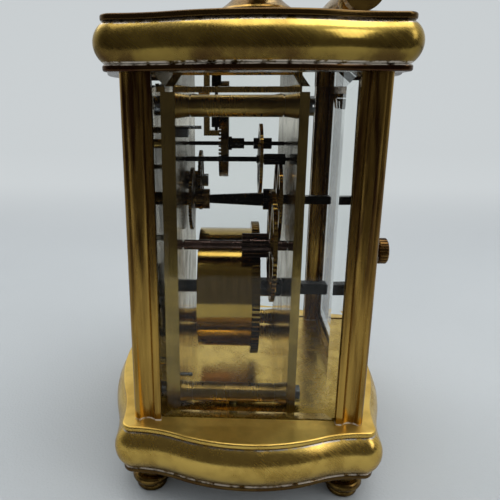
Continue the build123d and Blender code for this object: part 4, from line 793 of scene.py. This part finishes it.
def extrude_shut(thick_mm: float) -> None:
    """Extrude all of the mesh in edit mode along +Z, and leave it closed in object mode.

    Args:
        thick_mm: how far.
    """
    bpy.ops.mesh.select_all(action="SELECT")
    raised = {"value": (0.0, 0.0, thick_mm * MM)}
    bpy.ops.mesh.extrude_region_move(TRANSFORM_OT_translate=raised)
    bpy.ops.mesh.select_all(action="SELECT")
    bpy.ops.mesh.normals_make_consistent(inside=False)
    bpy.ops.object.mode_set(mode="OBJECT")


def turned_ring(radius: float, bore: float, thick: float, bevel: float, sides: int) -> Obj:
    """Model a flat ring about +Z with its back on Z = 0, all in millimetres.

    Args:
        radius: outer radius.
        bore: radius of its hole.
        thick: its thickness.
        bevel: the bevel on its edges.
        sides: how many sides its circles have.

    Returns:
        The ring, active and selected.
    """
    deselect()
    bpy.ops.mesh.primitive_circle_add(vertices=sides, radius=radius * MM, fill_type="NGON")
    ring = bpy.context.object
    bpy.ops.object.mode_set(mode="EDIT")
    bpy.ops.mesh.select_all(action="SELECT")
    bpy.ops.mesh.inset(thickness=(radius - bore) * MM)
    bpy.ops.mesh.delete(type="FACE")
    extrude_shut(thick)
    soften_edges(ring, bevel)
    return ring


# ---- surroundings ---------------------------------------------------------------------------


@dataclass(frozen=True)
class Lamp:
    """One soft rectangular lamp: its place in metres, its two sides and its power in watts."""

    name: str
    place: tuple[float, float, float]
    size: tuple[float, float]
    power: float

    def hang(self, target: Vector) -> None:
        """Hang the lamp.

        Args:
            target: what it is aimed at.
        """
        data = bpy.data.lights.new(self.name, "AREA")
        data.shape = "RECTANGLE"
        data.size, data.size_y, data.energy = self.size[0], self.size[1], self.power
        lamp = bpy.data.objects.new(self.name, data)
        lamp.location = self.place
        lamp.rotation_mode = "QUATERNION"
        lamp.rotation_quaternion = (target - Vector(self.place)).to_track_quat("-Z", "Y")
        bpy.context.collection.objects.link(lamp)


@dataclass
class Surroundings:
    """Pale cloth floor swept up into a backdrop, soft lamps, and the camera."""

    eye: tuple[float, float, float] = (0.1582, -0.0039, 0.1058)
    heading: float = 2.594
    dip: float = 16.45
    lens: float = 37.8
    shift: float = 0.0752
    floor_near: float = 0.215
    floor_far: float = -0.85
    floor_half: float = 1.6
    sweep: float = 0.35
    wall: float = 0.9
    sweep_steps: int = 12
    plan: tuple[Lamp, ...] = (
        Lamp("lamp_overhead", (-0.05, 0.12, 0.94), (0.9, 0.9), 6.3),
        Lamp("lamp_behind", (-0.50, -0.60, 0.85), (0.6, 0.6), 1.8),
        Lamp("lamp_side", (0.45, 0.75, 0.55), (0.35, 0.5), 1.0),
    )
    aim: tuple[float, float, float] = (0.0, 0.0, 0.06)
    room_edges: tuple[float, float] = (-0.35, 0.45)
    room_levels: tuple[float, float] = (0.75, 0.065)
    overhead: tuple[float, float, float] = (-0.05, 0.55, 0.83)
    overhead_edges: tuple[float, float] = (0.68, 0.97)
    room_dim: str = "241C17"
    room_bright: str = "DDE1E2"
    room_soft: str = "DDE1E4"
    soft_level: float = 0.80
    plain: str = "D0D5D7"

    def build(self) -> None:
        """Make the camera, the floor, the lamps and the world."""
        self.camera()
        self.backdrop()
        self.lamps()
        self.world()
        bpy.context.scene.view_settings.view_transform = "Standard"
        log.info("surroundings: camera, cloth, lamps and world")

    def camera(self) -> None:
        """Set the camera at the clock's right side, a little above its middle."""
        yaw, pitch = math.radians(self.heading), math.radians(self.dip)
        ahead = Vector(
            (-math.cos(yaw) * math.cos(pitch), -math.sin(yaw) * math.cos(pitch), -math.sin(pitch))
        )
        data = bpy.data.cameras.new("camera")
        data.lens, data.sensor_width, data.shift_x = self.lens, 36.0, self.shift
        data.clip_start, data.clip_end = 0.01, 20.0
        camera = bpy.data.objects.new("camera", data)
        camera.location = self.eye
        camera.rotation_mode = "QUATERNION"
        camera.rotation_quaternion = ahead.to_track_quat("-Z", "Y")
        bpy.context.collection.objects.link(camera)
        bpy.context.scene.camera = camera

    def backdrop(self) -> None:
        """Model one sheet: floor, curved sweep and wall."""
        deselect()
        bpy.ops.mesh.primitive_plane_add(size=2.0, location=(0.0, 0.0, 0.0))
        sheet = bpy.context.object
        sheet.name = "cloth_floor"
        half_x = (self.floor_near - self.floor_far) / 2
        middle = Matrix.Translation((self.floor_far + half_x, 0.0, 0.0))
        set_place(sheet, middle @ Matrix.Diagonal((half_x, self.floor_half, 1.0, 1.0)))
        bpy.ops.object.mode_set(mode="EDIT")
        bpy.ops.mesh.select_mode(type="EDGE")
        bpy.ops.mesh.select_all(action="DESELECT")
        bpy.ops.object.mode_set(mode="OBJECT")
        far = min(v.co.x for v in sheet.data.vertices)
        for edge in sheet.data.edges:
            edge.select = all(abs(sheet.data.vertices[i].co.x - far) < 1e-6 for i in edge.vertices)
        bpy.ops.object.mode_set(mode="EDIT")
        for step in range(1, self.sweep_steps + 1):
            before = (step - 1) / self.sweep_steps * math.pi / 2
            after = step / self.sweep_steps * math.pi / 2
            move = (
                -self.sweep * (math.sin(after) - math.sin(before)),
                0.0,
                self.sweep * (math.cos(before) - math.cos(after)),
            )
            bpy.ops.mesh.extrude_region_move(TRANSFORM_OT_translate={"value": move})
        bpy.ops.mesh.extrude_region_move(TRANSFORM_OT_translate={"value": (0.0, 0.0, self.wall)})
        bpy.ops.object.mode_set(mode="OBJECT")
        bpy.ops.object.shade_smooth()
        sheet.data.materials.append(Linen().build())

    def lamps(self) -> None:
        """Hang a large lamp overhead on the door's side, and two weaker ones."""
        for lamp in self.plan:
            lamp.hang(Vector(self.aim))

    def world(self) -> None:
        """Pale to look at; metal sees a dim room on the camera's side and light overhead."""
        world = bpy.data.worlds.new("studio")
        bpy.context.scene.world = world
        world.use_nodes = True
        tree = world.node_tree
        tree.nodes.clear()
        path = add_node(tree, "LightPath")
        toward = add_node(tree, "TexCoord")
        way = add_node(tree, "SeparateXYZ", {}, {0: toward})
        # bright behind the clock, dim on the side that it is seen from
        (back, front), (bright, dim) = self.room_edges, self.room_levels
        side = add_node(tree, "MapRange", SMOOTH | {1: back, 2: front, 3: bright, 4: dim}, {0: way})
        # the light overhead is strongest on the door's side
        above = add_node(
            tree, "VectorMath", {"operation": "DOT_PRODUCT", 1: self.overhead}, {0: toward}
        )
        low, high = self.overhead_edges
        top = add_node(
            tree, "MapRange", SMOOTH | {1: low, 2: high, 3: 0.0, 4: 1.0}, {0: above.outputs["Value"]}
        )
        level = add_node(tree, "Math", {"operation": "MAXIMUM"}, {0: side, 1: top})
        room = add_node(
            tree,
            "Mix",
            {"data_type": "RGBA", 6: srgb(self.room_dim), 7: srgb(self.room_bright)},
            {0: level},
        )
        seen = add_node(tree, "Background", {"Color": srgb(self.plain)})
        mirrored = add_node(tree, "Background", {}, {"Color": room.outputs[2]})
        soft = add_node(
            tree, "Background", {"Color": srgb(self.room_soft), "Strength": self.soft_level}
        )
        # what brass inside the case mirrors leaves through the glass, and is still a mirrored ray
        glossy = add_node(
            tree, "Math", {"operation": "MINIMUM", 1: 1.0}, {0: path.outputs["Glossy Depth"]}
        )
        lit = add_node(tree, "MixShader", {}, {0: glossy, 1: soft, 2: mirrored})
        either = add_node(
            tree,
            "Math",
            {"operation": "MAXIMUM"},
            {0: path.outputs["Is Camera Ray"], 1: path.outputs["Is Transmission Ray"]},
        )
        direct = add_node(
            tree, "Math", {"operation": "SUBTRACT", "use_clamp": True}, {0: either, 1: glossy}
        )
        final = add_node(tree, "MixShader", {}, {0: direct, 1: lit, 2: seen})
        add_node(tree, "OutputWorld", {}, {"Surface": final})


# ---- the clock ------------------------------------------------------------------------------


@dataclass
class Case:
    """Base, cornice, pillars, feet, door and glass."""

    nodes: dict[str, Obj]
    cove_in_mm: float = 1.6
    inside_mm: tuple[float, float] = (34.0, 27.0)

    def build(self) -> None:
        """Dress the case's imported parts."""
        base_low, base_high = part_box("base")
        top_low, top_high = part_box("cornice")
        sole, bed = base_low.z / MM, base_high.z / MM
        eaves, roof = top_low.z / MM, top_high.z / MM
        edge = self.cove_in_mm
        cast = CaseBrass(
            "cast_brass_base",
            gold="F0CA6A",
            olive="D4AE56",
            tarnish_and_shade=0.35,
            # painted shade: brown grows from the deck down to the sole, and on the lowest fillet
            painted_shade_least_mm=bed,
            painted_shade_most_mm=sole,
            matt_above_mm=bed - 0.1,
            polished_half_mm=self.inside_mm,
            coves_mm=(bed - edge, sole + edge),
            shaded_fillets_mm=(sole + 0.6,),
        )
        crown = CaseBrass(
            "cast_brass_cornice",
            gold="DCBC5C",
            olive="AA8E44",
            patch_mm=16.0,
            tarnish_and_shade=0.85,
            patchy=0.35,
            # painted shade: the band's lower part and its two fillets are painted brown
            painted_shade_least_mm=eaves + 8.5,
            painted_shade_most_mm=eaves + 2.5,
            coves_mm=(roof - edge - 0.2, eaves + edge),
            cove_half_mm=0.5,
            shaded_fillets_mm=(roof - 0.8, eaves + 0.6),
        )
        drawn = CaseBrass(
            "drawn_brass_pillar",
            grain=Grain.UPRIGHT,
            patch_mm=3.2,
            patch_stretch=(1.0, 1.0, 0.07),
            tarnish_and_shade=0.92,
            # painted shade: the pillars brown towards their tops, under the cornice
            painted_shade_least_mm=bed + 16.0,
            painted_shade_most_mm=eaves - 22.0,
            coves_mm=(bed + 0.2,),
        )
        door = CaseBrass(
            "tarnished_door_brass", gold="8A6A36", olive="6A4F28", tarnish_and_shade=0.5, patch_mm=8.0
        )
        foot = CaseBrass("turned_brass_foot", gold="A48444", olive="7A6230", tarnish_and_shade=0.6, patch_mm=3.5)
        dress(self.nodes, ("base",), cast.build())
        dress(self.nodes, ("cornice",), crown.build())
        dress(self.nodes, [n for n in self.nodes if n.startswith("pillar_")], drawn.build())
        dress(self.nodes, [n for n in self.nodes if n.startswith("foot_")], foot.build())
        dress(self.nodes, ("door_frame", "door_knob"), door.build())
        panes = ("glass_left", "glass_right", "front_glass", "top_glass", "door_glass")
        dress(self.nodes, panes, PlateGlass().build())
        log.info("case dressed, %.1f mm to its top", roof)


@dataclass
class Handle:
    """Carrying handle and its two posts."""

    nodes: dict[str, Obj]

    def build(self) -> None:
        """Dress the handle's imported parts."""
        worn = CaseBrass("handle_brass", tarnish_and_shade=0.45, grain=Grain.LEVEL, patch_mm=7.0)
        dress(self.nodes, ("handle_post_left", "handle_post_right", "handle_bail"), worn.build())
        log.info("handle dressed")


@dataclass
class Movement:
    """Plates, wheels and arbors of the going train."""

    nodes: dict[str, Obj]
    drum_mm: float = 18.65
    plates: tuple[str, ...] = ("front_plate", "back_plate", "dial_mask")
    turned: tuple[str, ...] = ("plate_pillars",)
    drums: tuple[str, ...] = ("barrel", "barrel_cover")
    wheels: tuple[str, ...] = ("intermediate_wheel", "centre_wheel", "third_wheel")
    brown: tuple[str, ...] = ("cannon_pinion", "minute_wheel", "hour_wheel", "contrate_wheel")
    screws: tuple[str, ...] = (
        "handle_pins",
        "case_screws",
        "plate_screws",
        "movement_screws",
        "front_plate_fittings",
        "minute_stud",
    )
    arbors: tuple[str, ...] = (
        "mainspring",
        "ratchet_wheel",
        "click",
        "click_spring",
        "centre_arbor",
        "third_arbor",
        "contrate_arbor",
        "barrel_arbor",
    )

    def build(self) -> None:
        """Dress the movement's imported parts."""
        plate = MovementBrass("stoned_plate_brass", gold="A38A4C", shade="7E6A38")
        # painted shade: the plate pillars are a darker copy of the plate brass, for the dark room that they
        # mirror
        post = MovementBrass(
            "painted_shade_pillar_brass",
            gold="9C8044",
            shade="6C562A",
            gloss=(0.22, 0.34),
            comb=(0.1, 1.0, 0.1),
        )
        low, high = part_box("barrel")
        drum = MovementBrass(
            "turned_barrel_brass",
            gold="C0A050",
            shade="9C7E3A",
            patch_mm=30.0,
            gloss=(0.06, 0.14),
            comb=(0.08, 1.0, 0.08),
            axle=tuple((low + high) / 2),
            # painted shade between the barrel's teeth starts at this radius
            teeth_from_mm=self.drum_mm,
        )
        wheel = MovementBrass("wheel_brass", gold="A98A48", shade="70592C", patch_mm=4.0)
        dull = MovementBrass(
            "oiled_wheel_brass", gold="715A33", shade="3E3020", patch_mm=3.0, gloss=(0.22, 0.38)
        )
        dress(self.nodes, self.plates, plate.build())
        dress(self.nodes, self.turned, post.build())
        dress(self.nodes, self.drums, drum.build())
        dress(self.nodes, self.wheels, wheel.build())
        dress(self.nodes, self.brown, dull.build())
        dress(self.nodes, ("intermediate_arbor",), Steel("browned_steel", "6A5650", "3C302C").build())
        dress(self.nodes, self.screws, Steel("polished_steel", "7E8082", "585A5C").build())
        dress(self.nodes, self.arbors, Steel("oiled_dark_steel", "2A2826", "141312").build())
        log.info("going train dressed")


@dataclass
class Dial:
    """Enamel dial with its printed hours and minutes, and the hands."""

    nodes: dict[str, Obj]
    print_mm: float = 0.02
    numeral_ring_mm: float = 18.4
    numeral_mm: float = 5.6
    numeral_shape: tuple[float, float] = (0.72, 1.25)
    track_outer_mm: float = 23.6
    track_inner_mm: float = 22.3
    track_line_mm: float = 0.14
    track_sides: int = 96
    mark_mm: float = 0.22
    bold_mark_mm: float = 0.6
    mark_taper: float = 0.75
    hours: tuple[str, ...] = (
        "XII", "I", "II", "III", "IIII", "V", "VI", "VII", "VIII", "IX", "X", "XI",
    )
    middle: Vector = field(default_factory=Vector)

    def build(self) -> None:
        """Dress the dial and hands and fire the print on."""
        low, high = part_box("dial")
        self.middle = Vector(((low.x + high.x) / 2, low.y, (low.z + high.z) / 2))
        white = Enamel("white_vitreous_enamel", "F1EEE4", "E6E1D2")
        black = Enamel("black_painted_enamel", "151310", "2A2520", wave_mm=0.6).build()
        blue = Steel("blued_steel", "1F2F63", "141B3A", (0.14, 0.26))
        dress(self.nodes, ("dial",), white.build())
        dress(self.nodes, ("minute_hand", "hour_hand"), blue.build())
        finish_piece(self.numerals(), "case", black)
        finish_piece(self.minute_track(), "case", black)

    def facing(self, degrees: float, radius_mm: float) -> Matrix:
        """Place on the dial's face at an hour angle, upright outwards.

        Args:
            degrees: clockwise from twelve, as the dial is read.
            radius_mm: distance from its middle.

        Returns:
            The place, from a print modelled in X and Y with its back on Z = 0.
        """
        turn = math.radians(degrees)
        out = Vector((math.sin(turn), 0.0, math.cos(turn))) * radius_mm * MM
        upright = Matrix.Rotation(turn, 4, "Y") @ Matrix.Rotation(math.pi / 2, 4, "X")
        return Matrix.Translation(self.middle + out) @ upright

    def numerals(self) -> Obj:
        """Print the twelve hours.

        Returns:
            All twelve as one piece.
        """
        signs = []
        for hour, sign in enumerate(self.hours):
            deselect()
            bpy.ops.object.text_add()
            text = bpy.context.object
            text.data.body = sign
            text.data.size = self.numeral_mm * MM
            text.data.align_x, text.data.align_y = "CENTER", "CENTER"
            text.data.extrude = self.print_mm * MM / 2
            text.data.resolution_u = 3
            bpy.ops.object.convert(target="MESH")
            piece = bpy.context.object
            raised = Matrix.Translation((0.0, 0.0, self.print_mm * MM / 2))
            tall = Matrix.Diagonal((*self.numeral_shape, 1.0, 1.0))
            set_place(piece, self.facing(hour * 30.0, self.numeral_ring_mm) @ raised @ tall)
            signs.append(piece)
        return joined(signs, "hour_numerals")

    def minute_track(self) -> Obj:
        """Print two fine circles with sixty marks between them.

        Returns:
            The track as one piece.
        """
        line, thick = self.track_line_mm, self.print_mm
        parts = []
        for radius in (self.track_outer_mm, self.track_inner_mm):
            ring = turned_ring(radius, radius - line, thick, thick * 0.2, self.track_sides)
            set_place(ring, self.facing(0.0, 0.0))
            parts.append(ring)
        long = self.track_outer_mm - self.track_inner_mm
        middle = (self.track_outer_mm + self.track_inner_mm - line) / 2
        mark = self.mark(long, self.mark_mm)
        bold = self.mark(long, self.bold_mark_mm)
        for minute in range(60):
            source = bold if minute % 5 == 0 else mark
            parts.append(copied(source, self.facing(minute * 6.0, middle)))
        discard(mark, bold)
        return joined(parts, "minute_track")

    def mark(self, long_mm: float, wide_mm: float) -> Obj:
        """Model one minute mark, a little narrower at its inner end.

        Args:
            long_mm: its length, along Y.
            wide_mm: its width, along X.

        Returns:
            The mark, with its back on Z = 0.
        """
        deselect()
        bpy.ops.mesh.primitive_plane_add(size=1.0)
        mark = bpy.context.object
        set_place(mark, Matrix.Diagonal((wide_mm * MM, long_mm * MM, 1.0, 1.0)))
        bpy.ops.object.mode_set(mode="EDIT")
        bpy.ops.mesh.select_mode(type="VERT")
        bpy.ops.mesh.select_all(action="DESELECT")
        bpy.ops.object.mode_set(mode="OBJECT")
        for vertex in mark.data.vertices:
            vertex.select = vertex.co.y < 0
        bpy.ops.object.mode_set(mode="EDIT")
        bpy.ops.transform.resize(value=(self.mark_taper, 1.0, 1.0))
        extrude_shut(self.print_mm)
        return mark


@dataclass
class PlatformEscapement:
    """Platform with its escape wheel, lever, balance and cocks, jewels and regulator."""

    nodes: dict[str, Obj]
    joints: list[dict[str, Any]]
    jewel_mm: float = 0.85
    jewel_bore_mm: float = 0.40
    jewel_rise_mm: float = 0.22
    jewel_edge_mm: float = 0.08
    setting_mm: float = 1.35
    setting_rise_mm: float = 0.16
    setting_edge_mm: float = 0.05
    setting_play_mm: float = 0.02
    index_ring_mm: float = 2.1
    index_play_mm: float = 0.1
    index_long_mm: float = 4.4
    index_tail: float = 0.25
    index_thick_mm: float = 0.18
    index_edge_mm: float = 0.03
    sides: int = 40

    def build(self) -> None:
        """Dress the platform and set its jewels and regulator."""
        gilt = MovementBrass("gilt_platform_brass", gold="B4975A", shade="957A42", gloss=(0.16, 0.26))
        steel = Steel("polished_steel_small", "7E8082", "585A5C").build()
        dark = Steel("oiled_steel_small", "3A3835", "1E1C1A").build()
        blue = Steel("blued_spring_steel", "1F2F63", "141B3A", (0.14, 0.26)).build()
        gilding = gilt.build()
        dress(self.nodes, ("platform", "potence", "escape_cock", "balance_cock", "balance"), gilding)
        dress(self.nodes, ("platform_screws",), steel)
        dress(self.nodes, ("escape_wheel", "lever"), dark)
        dress(self.nodes, ("hairspring",), blue)
        places = {j["child"]: Vector(j["pos_m"]) for j in self.joints}
        low_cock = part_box("escape_cock")[1].z
        high_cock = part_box("balance_cock")[1].z
        seats = (
            (places["escape"], low_cock),
            (places["lever"], low_cock),
            (places["balance"], high_cock),
        )
        stones, settings = [], []
        stone = turned_ring(
            self.jewel_mm, self.jewel_bore_mm, self.jewel_rise_mm, self.jewel_edge_mm, self.sides
        )
        seat_mm = self.jewel_mm + self.setting_play_mm
        setting = turned_ring(
            self.setting_mm, seat_mm, self.setting_rise_mm, self.setting_edge_mm, self.sides
        )
        for place, height in seats:
            seat = Matrix.Translation((place.x, place.y, height))
            stones.append(copied(stone, seat))
            settings.append(copied(setting, seat))
        discard(stone, setting)
        finish_piece(joined(stones, "ruby_jewels"), "case", Ruby().build())
        finish_piece(joined(settings, "jewel_settings"), "case", gilding)
        index = self.regulator()
        set_place(index, Matrix.Translation((places["balance"].x, places["balance"].y, high_cock)))
        finish_piece(index, "case", steel)

    def regulator(self) -> Obj:
        """Model the regulator index: a ring round the balance jewel with a long tapering tail.

        Returns:
            The index about +Z, with its back on Z = 0.
        """
        deselect()
        bpy.ops.mesh.primitive_circle_add(
            vertices=self.sides, radius=self.index_ring_mm * MM, fill_type="NGON"
        )
        index = bpy.context.object
        index.name = "regulator_index"
        bpy.ops.object.mode_set(mode="EDIT")
        bpy.ops.mesh.select_all(action="SELECT")
        bpy.ops.mesh.inset(
            thickness=(self.index_ring_mm - self.setting_mm - self.index_play_mm) * MM
        )
        bpy.ops.mesh.delete(type="FACE")
        bpy.ops.mesh.select_mode(type="EDGE")
        bpy.ops.mesh.select_all(action="DESELECT")
        bpy.ops.object.mode_set(mode="OBJECT")
        # the tail grows from the outer edges that face -X
        reach = self.index_ring_mm * MM * 0.98
        for edge in index.data.edges:
            ends = [index.data.vertices[i].co for i in edge.vertices]
            middle = (ends[0] + ends[1]) / 2
            edge.select = middle.length > reach and middle.x < -0.96 * reach
        bpy.ops.object.mode_set(mode="EDIT")
        away = {"value": (-self.index_long_mm * MM, 0.0, 0.0)}
        bpy.ops.mesh.extrude_region_move(TRANSFORM_OT_translate=away)
        bpy.ops.transform.resize(value=(1.0, self.index_tail, 1.0))
        extrude_shut(self.index_thick_mm)
        soften_edges(index, self.index_edge_mm)
        return index


def main() -> None:
    """Build the whole scene, in the order a maker would put it together."""
    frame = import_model()
    nodes = frame["nodes"]
    Surroundings().build()
    Case(nodes).build()
    Handle(nodes).build()
    Movement(nodes).build()
    Dial(nodes).build()
    PlatformEscapement(nodes, frame["joints"]).build()


if __name__ == "__main__":
    logging.basicConfig(level=logging.INFO, format="%(name)s: %(message)s")
    main()
